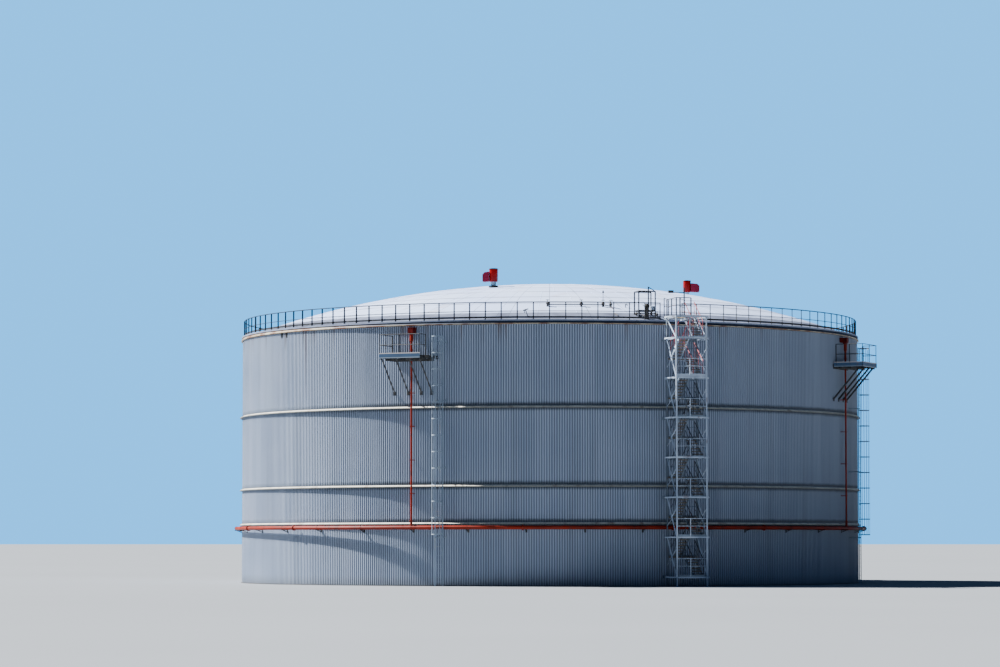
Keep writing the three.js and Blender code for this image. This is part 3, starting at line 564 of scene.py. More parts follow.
def belt_section(level, grow=0.0):
    """The bent sheet of a belt; grow makes it a little larger, for a lap."""
    wall, leg, edge = WALL_FACE, WALL_FACE + SHEET + grow, BELT_EDGE + grow
    return [(wall, level - 0.04 - grow), (BELT_EDGE - SHEET - grow, level - 0.08 + SHEET),
            (BELT_EDGE - SHEET, level - 0.085), (edge, level - 0.085), (edge, level - 0.03 + grow),
            (leg, level + 0.045 + grow), (leg, level + 0.085), (wall, level + 0.085)]


def flashing(name, section, lap_section, finish, node):
    mesh = bmesh.new()
    ring(mesh, section, steps=180)
    lap = bmesh.new()
    ring(lap, lap_section, degrees=0.22, steps=1, start=3.1)
    fill_circle(lap, lap.verts, LAPS)
    absorb(mesh, lap)
    make(name, mesh, finish, nodes=[node], smooth=25)


belt_paint = belt_finish()
for name, level in BELTS.items():
    flashing(f"flashing_{name}", belt_section(level), belt_section(level, 0.005), belt_paint,
             f"belt_{name}")


def eaves_section(grow=0.0):
    edge = 23.066 + grow
    return [(22.74, 17.886), (23.045, 17.886 - grow), (edge, 17.9), (edge, 17.945 + grow),
            (22.985 + grow, 18.015 + grow), (22.965 + grow, 18.095), (22.74, 18.095)]


flashing("flashing_eaves", eaves_section(), eaves_section(0.004), eaves_finish(), "eaves_flashing")
print("laps on each flashing:", LAPS)

# %% [markdown]
# ## Roof
# The roof is a shallow dome of plates, welded along rings and rays, with a flat rim where people walk.
# A sphere from the menu would have the wrong rise, so the section is drawn from the dome's radius,
# with a small step where one ring of plates lies over the next, and spun by a sixth of a turn.

# %% Finish of the roof plates
DOME_EDGE = 22.55
DOME_RISE = 3.96
RIM_TOP = 18.2
DOME_RADIUS = (DOME_EDGE ** 2 + DOME_RISE ** 2) / (2 * DOME_RISE)
DOME_CENTRE = RIM_TOP + DOME_RISE - DOME_RADIUS
SEAM_RINGS = [20.4, 18.1, 15.8, 13.4, 11.0, 8.5, 5.6]
RAYS_OUTER, RAYS_INNER = 48, 24


def roof_finish():
    """Pale plates of slightly different tones, with grimy seams and a dark walkway near the rim."""
    f = Finish("roof_plates", 0.5)
    out, turn = f.from_axis(), f.calc("ARCTAN2", f.x, f.y)
    ray = f.calc("ABSOLUTE", f.calc("SINE", f.times(turn, RAYS_OUTER / 2)))
    spread = f.times(ray, out)
    f.tones(f.blotch(0.35, 0.65, 1.0, 0.3, (1, 1, 1), 5.0), "BCD0FA", "CBDCFD")
    tone = f.tile_tone(f.calc("FLOOR", f.times(turn, RAYS_OUTER / 2 / math.pi)),
                       f.calc("FLOOR", f.times(out, 0.87)))
    f.coat(f.times(tone, 0.22), "AFC2E6")
    seams, lines = f.between(spread, 0.0, 0.45, 0.7, 0.0), f.between(spread, 0.1, 0.42, 1.0, 0.0)
    for radius in SEAM_RINGS:
        seams = f.calc("MAXIMUM", seams, f.times(f.near(out, radius * SCALE, 0.12), 0.8))
        lines = f.calc("MAXIMUM", lines, f.near(out, radius * SCALE, 0.08))
    broken = f.blotch(0.38, 0.62, 1.0, 1.3, (1, 1, 1), 6.0)
    f.coat(f.times(f.times(seams, broken), 0.6), "9FA3AF")
    f.coat(f.blotch(0.62, 0.72, 0.5, 1.1, (1, 1, 1), 8.0), "A99A90")
    f.coat(f.times(lines, f.between(broken, 0.0, 1.0, 0.4, 0.85)), "5A6072")
    walkway = f.times(f.metres(out, 20.72, 20.82), f.metres(out, 22.5, 22.56, 1.0, 0.8))
    scuffed = f.between(f.noise(1.6, (1, 1, 1), 6.0), 0.3, 0.7, 0.75, 0.95)
    f.coat(f.times(walkway, scuffed), "454859")
    return f.done(None, f.noise(3.0, (1, 1, 1), 6.0))


ROOF_PLATES = roof_finish()

# %% Roof plates
LAP_STEP = 0.008


def dome_height(radius):
    """The roof's height at a distance from its axis."""
    return DOME_CENTRE + math.sqrt(DOME_RADIUS ** 2 - radius ** 2)


def dome_line(start, end):
    """The dome's upper line from an outer to an inner radius, with a step at each ring seam."""
    line = [(start, dome_height(start))]
    for seam in [radius for radius in SEAM_RINGS if end < radius < start]:
        middle = (line[-1][0] + seam) / 2
        line += [(middle, dome_height(middle)), (seam + 0.012, dome_height(seam) - LAP_STEP)]
        line.append((seam, dome_height(seam)))
    return line + [(end, dome_height(end))]


def seam_ray(mesh, angle, outer, inner):
    """A weld cap along a ray: a small face, spun about the dome's centre, then turned to its angle."""
    face = mesh.faces.new([mesh.verts.new((x, -outer, dome_height(outer) + z))
                           for x, z in flat_bar(0.06, 0.016, 0.0, -0.002)])
    before = set(mesh.verts) - set(face.verts)
    swing = math.asin(outer / DOME_RADIUS) - math.asin(inner / DOME_RADIUS)
    bmesh.ops.spin(mesh, geom=[face] + face.verts[:] + face.edges[:], cent=(0, 0, DOME_CENTRE),
                   axis=(1, 0, 0), angle=-swing, steps=8)
    new = [vert for vert in mesh.verts if vert not in before]
    bmesh.ops.rotate(mesh, cent=(0, 0, 0), matrix=turned(angle).to_3x3(), verts=new)


ROOF_SECTORS = 6
SECTOR_TURN = 360 / ROOF_SECTORS
CROWN = 2.5
upper = [(23.02, RIM_TOP), *dome_line(DOME_EDGE, CROWN + 0.006)]
under = [(radius, height - 0.1) for radius, height in upper[::3][::-1]]
for i in range(ROOF_SECTORS):
    roof_mesh = bmesh.new()
    start = FIRST_JOINT + SECTOR_TURN / 2 + i * SECTOR_TURN
    ring(roof_mesh, upper + under, SECTOR_TURN, 30, start)
    for k in range(RAYS_OUTER // ROOF_SECTORS):
        seam_ray(roof_mesh, start + (k + 0.5) * 360 / RAYS_OUTER, 22.4, SEAM_RINGS[3])
    for k in range(RAYS_INNER // ROOF_SECTORS):
        seam_ray(roof_mesh, start + (k + 0.5) * 360 / RAYS_INNER, SEAM_RINGS[3], CROWN + 0.05)
    make(f"roof_plates_{i + 1}", roof_mesh, ROOF_PLATES, nodes=[f"roof_sector_{i + 1}"],
         smooth=20)

crown_mesh = bmesh.new()
crown_line = [(radius, dome_height(radius)) for radius in (CROWN, 1.9, 1.2, 0.5)]
crown_foot = dome_height(CROWN) - 0.1
ring(crown_mesh, [(0.5, crown_foot), (CROWN, crown_foot), *crown_line], steps=60)
tube(crown_mesh, (0, 0, crown_foot), (0, 0, dome_height(0)), 1.02, 60, 1.0)
make("roof_crown_plate", crown_mesh, ROOF_PLATES, nodes=["roof_crown"], smooth=20)
print("dome radius", round(DOME_RADIUS, 2), "triangles in a sector:", triangles["roof_plates_1"])

# %% [markdown]
# ## Guardrail on the rim
# Posts stand on foot plates a good metre apart and carry a top rail, a knee rail and a toe board that
# is lifted a hand's width, so that rain runs off the roof under it. Each quarter is one piece: the
# rails are spun, and one post is drawn and copied round. It stays open where the gangway comes over.

# %% Finish of painted bars
def bar_finish(name, light, dark, rust_and_glint, share, roughness=0.5, scale=1.6, dusty=0.35, shine=0.5):
    """Two tones of paint under dust, with spots of a third colour: rusty spots on most bars, and on the
    ladder pale spots that are painted sunlit glints. Shine is the strength of its gloss.
    """
    f = Finish(name, roughness)
    f.surface.inputs["Specular IOR Level"].default_value = shine
    f.tones(f.blotch(0.35, 0.65, 1.0, scale, (1, 1, 0.5), 5.0), light, dark)
    dust = f.blotch(0.5, 0.8, 1.0, scale * 6, (1, 1, 0.3), 6.0)
    f.coat(f.times(dust, dusty), "8A8780")
    f.coat(f.blotch(0.6, 0.68, share, scale * 3, (1, 1, 0.6), 8.0), rust_and_glint)
    return f.done(f.between(dust, 0.0, 1.0, roughness, roughness + 0.2))


RAILING = bar_finish("railing_paint", "23282F", "1A1F26", "3E2A22", 0.5, 0.5, 1.6, 0.2)

# %% Guardrail, four quarters
GUARD_OPEN = (19.5, 23.4)  # angles of the gap for the gangway
GUARD_BAYS = 32
GUARD_RADIUS = 22.83
TOP_RAIL, KNEE_RAIL = 19.38, 18.76
TOE_BOARD = (18.29, 18.42)
GUARD_SECTIONS = [
    circle(0.07, 6, GUARD_RADIUS, TOP_RAIL), circle(0.046, 6, GUARD_RADIUS, KNEE_RAIL),
    flat_bar(0.012, TOE_BOARD[1] - TOE_BOARD[0], GUARD_RADIUS - 0.02, sum(TOE_BOARD) / 2)]
guard_turn = (360 - GUARD_OPEN[1] + GUARD_OPEN[0]) / 4
span = guard_turn - 0.04  # what is left between the gaps at both ends
bay = (span - 0.2) / GUARD_BAYS


def guard_post():
    """An angle bar on a foot plate."""
    mesh = bmesh.new()
    y = -GUARD_RADIUS
    upright(mesh, -0.02, y + 0.03, RIM_TOP + 0.01, TOP_RAIL, angle_bar(0.075, 0.008), (0, -1, 0))
    plate(mesh, (-0.07, 0.07), (y - 0.06, y + 0.07), (RIM_TOP + 0.001, RIM_TOP + 0.014))
    return mesh


for i in range(4):
    guard_mesh = bmesh.new()
    start = GUARD_OPEN[1] + i * guard_turn + 0.02
    for section in GUARD_SECTIONS:
        ring(guard_mesh, section, span, 48, start)
    absorb(guard_mesh, guard_post(), [turned(start + 0.1 + k * bay) for k in range(GUARD_BAYS + 1)])
    make(f"guardrail_{i + 1}", guard_mesh, RAILING, nodes=[f"roof_guardrail_{i + 1}"])
bay_width = round(math.radians(bay) * GUARD_RADIUS, 2)
print("posts in a quarter:", GUARD_BAYS + 1, "and a bay is", bay_width, "m wide")

# %% [markdown]
# ## Stair tower: frame
# The tower is a square of four posts inside round rings of rolled channel, braced on its sides.
# It is built upright round its own axis, as a workshop would, and a single matrix then carries every
# part of it to its place by the wall. Straight bars join the posts under each ring.

# %% Tower finishes and sizes
TOWER_PLACE = turned(21.9) @ Matrix.Translation((0, -25, 0)) @ turned(-6.4)
TOWER_STEEL = bar_finish("tower_paint", "C2D0E2", "98A9BF", "6E4A34", 0.45, 0.45, 1.6, 0.2)
# A darker copy of the tower's paint: painted shade, for the rear frame and the lower flights'
# stringers.
TOWER_SHADED = bar_finish("tower_paint_shaded", "7F8E9E", "5E6E7F", "5E4030", 0.5, 0.55)
HANDRAIL = bar_finish("handrail_paint", "262D37", "1C222B", "5A3230", 0.7, 0.5, 1.4)
RED_HANDRAIL = bar_finish("red_handrail_paint", "B4585E", "8C4048", "3A2A2C", 0.5, 0.5, 1.4)
GRATING = bar_finish("grating_steel", "7E7464", "5E574C", "56361F", 0.6, 0.7)
CORNER = 1.06
POST, POST_PLATE = 0.09, 0.011
RING_RADIUS = CORNER * math.sqrt(2)
FIRST_LANDING, STOREY, TOP_LANDING = 0.68, 2.7, 18.33
LANDINGS = [FIRST_LANDING + i * STOREY for i in range(7)]
LEVELS = [*LANDINGS, TOP_LANDING]
RAIL, KNEE = 1.22, 0.71


def tower_piece(name, mesh, finish, node=None):
    make(name, mesh, finish, TOWER_PLACE, [node] if node else ())


print("radius of the tower's rings:", round(RING_RADIUS, 2), "m")


# %% What the sides of the tower share
def ring_section(level):
    """A rolled channel that is open inwards, with its top at the landing's level."""
    out, inner, t = RING_RADIUS + 0.013, RING_RADIUS - 0.043, 0.012
    return [(inner, level - 0.1), (out, level - 0.1), (out, level), (inner, level), (inner, level - t),
            (out - t, level - t), (out - t, level - 0.1 + t), (inner, level - 0.1 + t)]


def tower_side(turn, levels=LEVELS):
    """What every side has: a quarter of each ring, with the beam between two posts under it."""
    mesh = bmesh.new()
    for level in levels:
        ring(mesh, ring_section(level), 89.6, 12, -44.8)
        bar(mesh, (-CORNER, -CORNER, level - 0.055), (CORNER, -CORNER, level - 0.055),
            channel(0.09, 0.05, 0.01))
    mesh.transform(turned(turn))
    return mesh


print("straight beams on a side:", len(LEVELS))


# %% Posts and curved rails of the tower
def tower_post(mesh, x, y):
    """An angle bar with its edge outwards, on a foot plate, with a splice at each site joint."""
    across, ahead = math.copysign(1, x), math.copysign(1, y)
    outer = [(across * a, -ahead * u) for a, u in angle_bar(POST, POST_PLATE)]
    inner = [(across * (a + POST_PLATE), -ahead * (u + POST_PLATE)) for a, u in angle_bar(0.06, 0.01)]
    edge = (x + across * POST / 2, y + ahead * POST / 2)
    upright(mesh, *edge, 0.02, TOP_LANDING + 0.01, outer)
    plate(mesh, (x - 0.13, x + 0.13), (y - 0.13, y + 0.13), (0, 0.02))
    for splice in (4.4, 9.8, 15.2):
        upright(mesh, *edge, splice, splice + 0.36, inner)


def curved_rail(mesh, level, turn=0.0):
    """The rails round a landing's outer edge, with one baluster."""
    for height in (RAIL, KNEE):
        ring(mesh, circle(0.042, 8, RING_RADIUS - 0.004, level + height), 89.6, 12, turn - 44.8)
    foot = polar(turn - 9, RING_RADIUS - 0.012)
    upright(mesh, foot.x, foot.y, level, level + RAIL, 0.05)


print("a post stands", round(math.hypot(CORNER, CORNER), 2), "m from the tower's axis")

# %% Tower front
front = tower_side(0)
for x in (-CORNER, CORNER):
    tower_post(front, x, -CORNER)
for level in LANDINGS:
    curved_rail(front, level)
tower_piece("tower_front_frame", front, TOWER_STEEL, "stair_tower_front")
print("landings at the front:", [round(level, 2) for level in LANDINGS])

# %% Tower rear, with its ties to the wall
rear = tower_side(180, LANDINGS)
for start, degrees in ((135.2, 31), (216, 8.8)):
    ring(rear, ring_section(TOP_LANDING), degrees, 6, start)
for x in (-CORNER, CORNER):
    tower_post(rear, x, CORNER)
for level in LANDINGS[:-1]:
    curved_rail(rear, level + STOREY / 2, 180)
for side in (-CORNER, CORNER):
    ends = [CORNER + step / 100 for step in range(400)]
    end = next(y for y in ends if (TOWER_PLACE @ Vector((side, y, 0))).length < WALL_FACE + 0.015)
    for level in LANDINGS[::2]:
        bar(rear, (side, CORNER, level - 0.05), (side, end, level - 0.05), angle_bar(0.07, 0.008))
        plate(rear, (side - 0.08, side + 0.12), (end - 0.02, end), (level - 0.14, level + 0.06))
# The rear frame takes the darker copy of the tower's paint, as painted shade.
tower_piece("tower_rear_frame", rear, TOWER_SHADED, "stair_tower_rear")
print("length of the last tie:", round(end - CORNER, 2), "m")


# %% Tower sides with their braces
def side_frame(name, side):
    """A side with a long brace in each storey, and two short ones from it to the posts."""
    mesh = tower_side(side * 90)
    x = side * CORNER
    reach = CORNER - POST / 2
    for low, high in zip(LEVELS, LEVELS[1:]):
        foot, head = Vector((x, -reach, low - 0.05)), Vector((x, reach, high - 0.1))
        bar(mesh, foot, head, angle_bar(0.055, 0.008), up=(side, 0, 0))
        middle = foot.lerp(head, 0.53)
        if high - low > 2:
            other = foot.lerp(head, 0.47)
            for start, end in ((middle, (x, -reach, high - 0.8)), (other, (x, reach, low + 0.75))):
                bar(mesh, start, end, angle_bar(0.045, 0.007), up=(side, 0, 0))
            plate(mesh, (x - 0.006, x + 0.006), (middle.y - 0.1, middle.y + 0.08),
                  (middle.z - 0.12, middle.z + 0.1))
    tower_piece(f"tower_{name}_frame", mesh, TOWER_STEEL, f"stair_tower_{name}")


side_frame("left", -1)
side_frame("right", 1)
print("tower frame triangles:", sum(count for name, count in triangles.items() if "tower" in name))

# %% [markdown]
# ## Stair tower: flights
# A half flight spans the square of posts, and each landing fills the space out to the round ring, at
# the front for a full storey and at the rear for half a one. Treads and landings are gratings: rows of
# thin upright bars, so daylight comes through. A see-through texture would be quicker, but it would
# leave the exported shape closed. The gratings are bare, the lower handrails dark, the upper ones red.

# %% Gratings and landings
FLIGHT_REACH = 0.98
LANDING_HALF = 1.01
LANDING_PITCH = 0.05
BAR_DEEP, BAR_THICK = 0.03, 0.008
LANDING_RADIUS = RING_RADIUS - 0.045
LANDING_TURN = 2 * math.degrees(math.asin(LANDING_HALF / LANDING_RADIUS))
FLIGHT_SIDES = {"right": (0.15, 0.87), "left": (-0.87, -0.15)}
FLIGHT_RAIL = 1.1
TREADS, TREAD_BARS = 6, 8
TOE_HEIGHTS = [0.14, 0.14, 0.07, 0.07, 0.13, 0.2, 0.05]  # of the landings, from the lowest up


def thin(here):
    """The two faces of a grating's bar that stands here."""
    return here - BAR_THICK / 2, here + BAR_THICK / 2


def grating(mesh, x, y, top, spacing):
    """Bearing bars along y, with a rod across at each third."""
    count = round((x[1] - x[0]) / spacing)
    for i in range(1, count):
        plate(mesh, thin(x[0] + (x[1] - x[0]) * i / count), y, (top - BAR_DEEP, top - 0.002))
    for share in (0.33, 0.67):
        plate(mesh, x, thin(y[0] + (y[1] - y[0]) * share), (top - 0.012, top - 0.004))


def landing(frames, gratings, level, turn, x=(-LANDING_HALF, LANDING_HALF), toe=0.0):
    """Bars inside a frame that is straight at the flights and curved outside."""
    part, bars = bmesh.new(), bmesh.new()
    count = round((x[1] - x[0]) / LANDING_PITCH)
    for i in range(count + 1):
        here = x[0] + 0.01 + (x[1] - x[0] - 0.02) * i / count
        reach = math.sqrt(LANDING_RADIUS ** 2 - here ** 2)
        plate(bars, thin(here), (-reach, -FLIGHT_REACH), (level - BAR_DEEP, level - 0.002))
    plate(bars, x, (-FLIGHT_REACH - 0.012, -FLIGHT_REACH), (level - 0.09, level))
    turns = [math.degrees(math.asin(end / LANDING_RADIUS)) for end in x]
    ring(part, flat_bar(0.012, 0.09, LANDING_RADIUS, level - 0.045), turns[1] - turns[0], 12, turns[0])
    if toe:
        board = flat_bar(0.008, toe + 0.04, LANDING_RADIUS + 0.012, level + toe / 2 - 0.02)
        ring(part, board, LANDING_TURN, 12, -LANDING_TURN / 2)
    absorb(frames, part, [turned(turn)])
    absorb(gratings, bars, [turned(turn)])


print("a landing spans", round(LANDING_TURN), "degrees of the ring")


# %% Half flights
def half_flight(frames, gratings, side, y, z):
    """Stringers of channel on both sides, and treads between them."""
    x0, x1 = FLIGHT_SIDES[side]
    ahead = math.copysign(1, y[1] - y[0])
    for x, open_side in ((x0, 1), (x1, -1)):
        section = [(open_side * ahead * across, up) for across, up in channel(0.18, 0.05, 0.01)]
        bar(frames, (x, y[0], z[0] - 0.08), (x, y[1], z[1] - 0.08), section)
    inner = (x0 + 0.012, x1 - 0.012)
    for k in range(1, TREADS + 1):
        share = k / (TREADS + 1)
        height = z[0] + (z[1] - z[0]) * share
        front_edge = y[0] + (y[1] - y[0]) * share - ahead * 0.13
        for row in range(TREAD_BARS):
            here = front_edge + ahead * (0.045 + row * 0.03)
            plate(gratings, inner, thin(here), (height - BAR_DEEP, height))
        nose = sorted((front_edge, front_edge + ahead * 0.025))
        plate(gratings, inner, nose, (height - 0.06, height + 0.004))


def handrails(mesh, side, y, z):
    """A handrail and a knee rail on posts, on both sides of a half flight."""
    for x in (FLIGHT_SIDES[side][0] + 0.015, FLIGHT_SIDES[side][1] - 0.015):
        start, end = Vector((x, y[0], z[0])), Vector((x, y[1], z[1]))
        for height, width in ((FLIGHT_RAIL, 0.06), (FLIGHT_RAIL / 2, 0.03)):
            lift = Vector((0, 0, height))
            tube(mesh, start + lift, end + lift, width, 8)
        for share in (0.02, 0.5, 0.98):
            foot = start.lerp(end, share)
            upright(mesh, x, foot.y, foot.z - 0.1, foot.z + FLIGHT_RAIL, 0.028)


print("rise of a step:", round(STOREY / 2 / (TREADS + 1), 3), "m")

# %% Flights
UP, BACK = (-FLIGHT_REACH, FLIGHT_REACH), (FLIGHT_REACH, -FLIGHT_REACH + 0.005)
GANGWAY_X, GANGWAY_Y = (-0.87, 0.34), (1.1, 2.36)


def top_floor(frames, gratings):
    """The top landing: the left half of the square, and what reaches to the ring behind it."""
    near, far = -LANDING_HALF, GANGWAY_Y[0] - 0.004
    grating(gratings, (-LANDING_HALF, 0.05), (near, far), TOP_LANDING, LANDING_PITCH)
    edge_frame(frames, (-LANDING_HALF, 0.05), (near, far), (TOP_LANDING - 0.09, TOP_LANDING), 0.03)
    landing(frames, gratings, TOP_LANDING, 180, (-LANDING_HALF, -GANGWAY_X[1] - 0.02))
    grating(gratings, (0.05, GANGWAY_X[1] + 0.02), (FLIGHT_REACH, far), TOP_LANDING, LANDING_PITCH)


for i, low in enumerate(LANDINGS):
    last = i == len(LANDINGS) - 1
    middle = TOP_LANDING if last else low + STOREY / 2
    frames, gratings, rails = bmesh.new(), bmesh.new(), bmesh.new()
    landing(frames, gratings, low, 0, toe=TOE_HEIGHTS[i])
    half_flight(frames, gratings, "right", UP, (low, middle))
    handrails(rails, "right", UP, (low, middle))
    if last:
        top_floor(frames, gratings)
    else:
        landing(frames, gratings, middle, 180, toe=0.1)
        half_flight(frames, gratings, "left", BACK, (middle, low + STOREY))
        handrails(rails, "left", BACK, (middle, low + STOREY))
    name = "top" if last else str(i + 1)
    # Below the top two flights the stringers take the darker copy of the tower's paint, as painted
    # shade.
    paints = (TOWER_STEEL, RED_HANDRAIL) if i > 4 else (TOWER_SHADED, HANDRAIL)
    tower_piece(f"stair_stringers_{name}", frames, paints[0], f"stair_flight_{name}")
    tower_piece(f"stair_gratings_{name}", gratings, GRATING)
    tower_piece(f"stair_handrails_{name}", rails, paints[1])
print("triangles in a flight:", triangles["stair_gratings_1"])

# %% [markdown]
# ## Gangway and roof platform
# The gangway leads from the top landing over the gap onto the rim. Beside it a small platform stands
# on the roof, next to the dip hatch. Both are gratings with tube rails, and a taller post carries a
# floodlight on an arm. They are drawn bar by bar, because each bar shows against the sky.

# %% Gangway
gangway = bmesh.new()
grating(gangway, GANGWAY_X, GANGWAY_Y, TOP_LANDING, 0.08)
edge_frame(gangway, GANGWAY_X, GANGWAY_Y, (RIM_TOP + 0.004, TOP_LANDING), 0.06, 0.04)
tower_piece("gangway_deck", gangway, TOWER_STEEL, "gangway")

NEAR_RAIL, FAR_RAIL = 1.2, 1.42
gangway_rails = bmesh.new()
for x in (GANGWAY_X[0] + 0.04, GANGWAY_X[1] - 0.04):
    for y, height in ((1.32, NEAR_RAIL), (2.3, FAR_RAIL)):
        upright(gangway_rails, x, y, TOP_LANDING, TOP_LANDING + height, angle_bar(0.065, 0.008))
    for share in (1, 0.6):
        near = (x, 1.28, TOP_LANDING + NEAR_RAIL * share)
        far = (x, 2.34, TOP_LANDING + FAR_RAIL * share)
        tube(gangway_rails, near, far, 0.042, 8)
tower_piece("gangway_rails", gangway_rails, RAILING)
print("gangway bars:", triangles["gangway_deck"] // 12)

# %% Rails and lamp of the top landing
TOP_RAIL_PAINT = bar_finish("rusty_rail_paint", "363D48", "282E38", "A85A3A", 0.9, 0.55, 0.5)
LAMP_BLACK = bar_finish("lamp_black", "16181B", "1F2226", "2A2522", 0.3, 0.6)
LAMP_POST, LAMP_ARM = -0.5, 1.56  # place along the front, height of the arm
TOP_POSTS = [  # x, y, foot, top, width
    (-0.8, -CORNER, -0.06, RAIL, 0.075), (LAMP_POST, -CORNER, -0.06, 1.9, 0.075),
    (-0.02, -CORNER, -0.06, RAIL, 0.075), (-CORNER, -CORNER, 0.01, RAIL, 0.07),
    (-CORNER, CORNER, 0.01, RAIL, 0.07), (-CORNER, 0, -0.06, RAIL, 0.065)]

top_rails = bmesh.new()
for height in (RAIL, KNEE):
    corner = (-CORNER, -CORNER, TOP_LANDING + height)
    for x, y in ((-0.02, -CORNER), (-CORNER, CORNER)):
        tube(top_rails, corner, (x, y, TOP_LANDING + height), 0.06, 8)
for x, y, foot, top, width in TOP_POSTS:
    upright(top_rails, x, y, TOP_LANDING + foot, TOP_LANDING + top, width)
arm = Vector((LAMP_POST, -CORNER, TOP_LANDING + LAMP_ARM))
bar(top_rails, arm, arm - Vector((0.8, 0, 0)), 0.05)
tower_piece("top_landing_rails", top_rails, TOP_RAIL_PAINT)

flood = bmesh.new()
plate(flood, (-1.62, -1.26), (-1.11, -0.94), (19.85, 20.03))
lip = [face for face in flood.faces if face.normal.y < -0.9]
bmesh.ops.inset_region(flood, faces=lip, thickness=0.02, depth=-0.03)
make("floodlight", flood, LAMP_BLACK, TOWER_PLACE, bevel=0.012)

# %% Roof platform with the dip hatch
PLATFORM_PLACE = turned(17.7)
PLATFORM_HALF, PLATFORM_OUT, PLATFORM_TOP, PLATFORM_RAIL = 0.62, (21.15, 22.05), 18.95, 1.28
deck = bmesh.new()
out = (-PLATFORM_OUT[1], -PLATFORM_OUT[0])
grating(deck, (-PLATFORM_HALF, PLATFORM_HALF), out, PLATFORM_TOP, 0.08)
edge_frame(deck, (-PLATFORM_HALF, PLATFORM_HALF), out, (PLATFORM_TOP - 0.07, PLATFORM_TOP), 0.04)
z = PLATFORM_TOP + PLATFORM_RAIL
for x in (-PLATFORM_HALF + 0.02, PLATFORM_HALF - 0.02):
    for y in out:
        foot = dome_height(-y)
        upright(deck, x, y, foot - 0.02, z, 0.075)
        plate(deck, (x - 0.08, x + 0.08), (y - 0.08, y + 0.08), (foot - 0.03, foot + 0.03))
for y in out:
    tube(deck, (-PLATFORM_HALF, y, z), (PLATFORM_HALF, y, z), 0.085, 8)
tube(deck, (-PLATFORM_HALF + 0.02, out[0], z), (-PLATFORM_HALF + 0.02, out[1], z), 0.075, 8)
upright(deck, 0.1, out[0], PLATFORM_TOP, PLATFORM_TOP + 1.6, 0.075)
tube(deck, (0.1, out[0], PLATFORM_TOP + 1.58), (0.6, out[0], z), 0.06, 8)
make("roof_platform_frame", deck, RAILING, PLATFORM_PLACE, ["roof_platform"])

BARE_STEEL = bar_finish("bare_steel", "3E3A36", "2C2927", "5A3824", 0.8, 0.6)
HATCH_Y = -22.3
HATCH_SECTIONS = [
    [(0, 18.1), (0.16, 18.1), (0.11, 19.1), (0, 19.1)],
    [(0, 19.1), (0.19, 19.1), (0.19, 19.15), (0, 19.15)],
    [(0, 19.17), (0.19, 19.17), (0.19, 19.23), (0.13, 19.35), (0, 19.37)]]
hatch = bmesh.new()
for section in HATCH_SECTIONS:
    ring(hatch, section, steps=20, centre=(-0.1, HATCH_Y))
bmesh.ops.remove_doubles(hatch, verts=hatch.verts, dist=1e-5)
tube(hatch, (-0.24, HATCH_Y, 19.14), (-0.38, HATCH_Y, 19.24), 0.05, 8)
make("dip_hatch", hatch, BARE_STEEL, PLATFORM_PLACE, smooth=35)

case = bmesh.new()
plate(case, (0.32, 0.58), (-22.02, -21.76), (18.96, 19.2))
plate(case, (0.3, 0.6), (-22.04, -21.74), (19.2, 19.225))
make("instrument_box", case, TOWER_STEEL, PLATFORM_PLACE, bevel=0.01)
print("platform triangles:", triangles["roof_platform_frame"])

# %% [markdown]
# ## Foam stations
# Four stations a quarter turn apart can lay foam on a fire: a ring main on wall brackets, a riser, and
# a foam chamber under the eaves, with a platform to reach it and a caged ladder. One station is
# modelled at the front, and its mesh is then made four times, each turned to its place. Four drawn
# ones would let each differ a little, but a fitter builds them from one drawing too.

# %% Ring main and riser
FOAM_RED = bar_finish("foam_pipe_paint", "8E2006", "6C1804", "3A1810", 0.7, 0.45, 1.2, 0.06, 0.2)
# The chamber's red is darker than the pipes', partly painted shade from the eaves above it.
CHAMBER_SHADED_RED = bar_finish("foam_chamber_shaded_paint", "6A0F0A", "4A0A08", "22100E", 0.6, 0.5, 1.6, 0.04, 0.15)
STATION_START = -24
MAIN_RADIUS, MAIN_LEVEL, MAIN_WIDTH = 23.35, 4.0, 0.27
RISER_OUT = 23.338
RISER = [  # foot, top, width at the foot, width at the top
    (4.0, 16.22, 0.13, 0.13), (16.22, 16.72, 0.16, 0.16), (16.72, 16.82, 0.16, 0.24),
    (16.82, 17.3, 0.24, 0.24), (4.08, 4.4, 0.19, 0.17)]


def flange(mesh, centre, width, thick, bolts, axis="Z"):
    """A pair of round flanges with a gap, and hexagon bolts through both."""
    turn = Matrix.Rotation(math.radians(90), 4, "Y") if axis == "X" else Matrix()
    part = bmesh.new()
    for side in (-1, 1):
        tube(part, (0, 0, side * 0.004), (0, 0, side * (thick + 0.004)), width, 20)
    x, reach = width * 0.41, thick + 0.022
    bolt = tube(part, (x, 0, -reach), (x, 0, reach), width * 0.07, 6)
    fill_circle(part, bolt, bolts)
    absorb(mesh, part, [Matrix.Translation(centre) @ turn])


def foam_line():
    """A quarter of the ring main with its flanges, and the riser with its clamps on the wall."""
    mesh, joint = bmesh.new(), bmesh.new()
    ring(mesh, circle(MAIN_WIDTH, 14, MAIN_RADIUS, MAIN_LEVEL), 89.96, 60, -44.98)
    flange(joint, (0, -MAIN_RADIUS, MAIN_LEVEL), 0.4, 0.03, 8, "X")
    absorb(mesh, joint, [turned(angle) for angle in (-44.9, -26.5, 19.5)])
    for low, high, width, top in RISER:
        tube(mesh, (0, -RISER_OUT, low), (0, -RISER_OUT, high), width, 14, top)
    for level in (4.46, 16.17):
        flange(mesh, (0, -RISER_OUT, level), 0.26, 0.022, 6)
    for level in (6.3, 8.6, 10.9, 13.2):
        plate(mesh, (-0.1, 0.1), (-RISER_OUT - 0.075, -RISER_OUT - 0.065), (level, level + 0.05))
        z = level + 0.025
        for x in (-0.09, 0.09):
            bar(mesh, (x, -WALL_FACE, z), (x, -RISER_OUT - 0.07, z), flat_bar(0.012, 0.05))
    return mesh


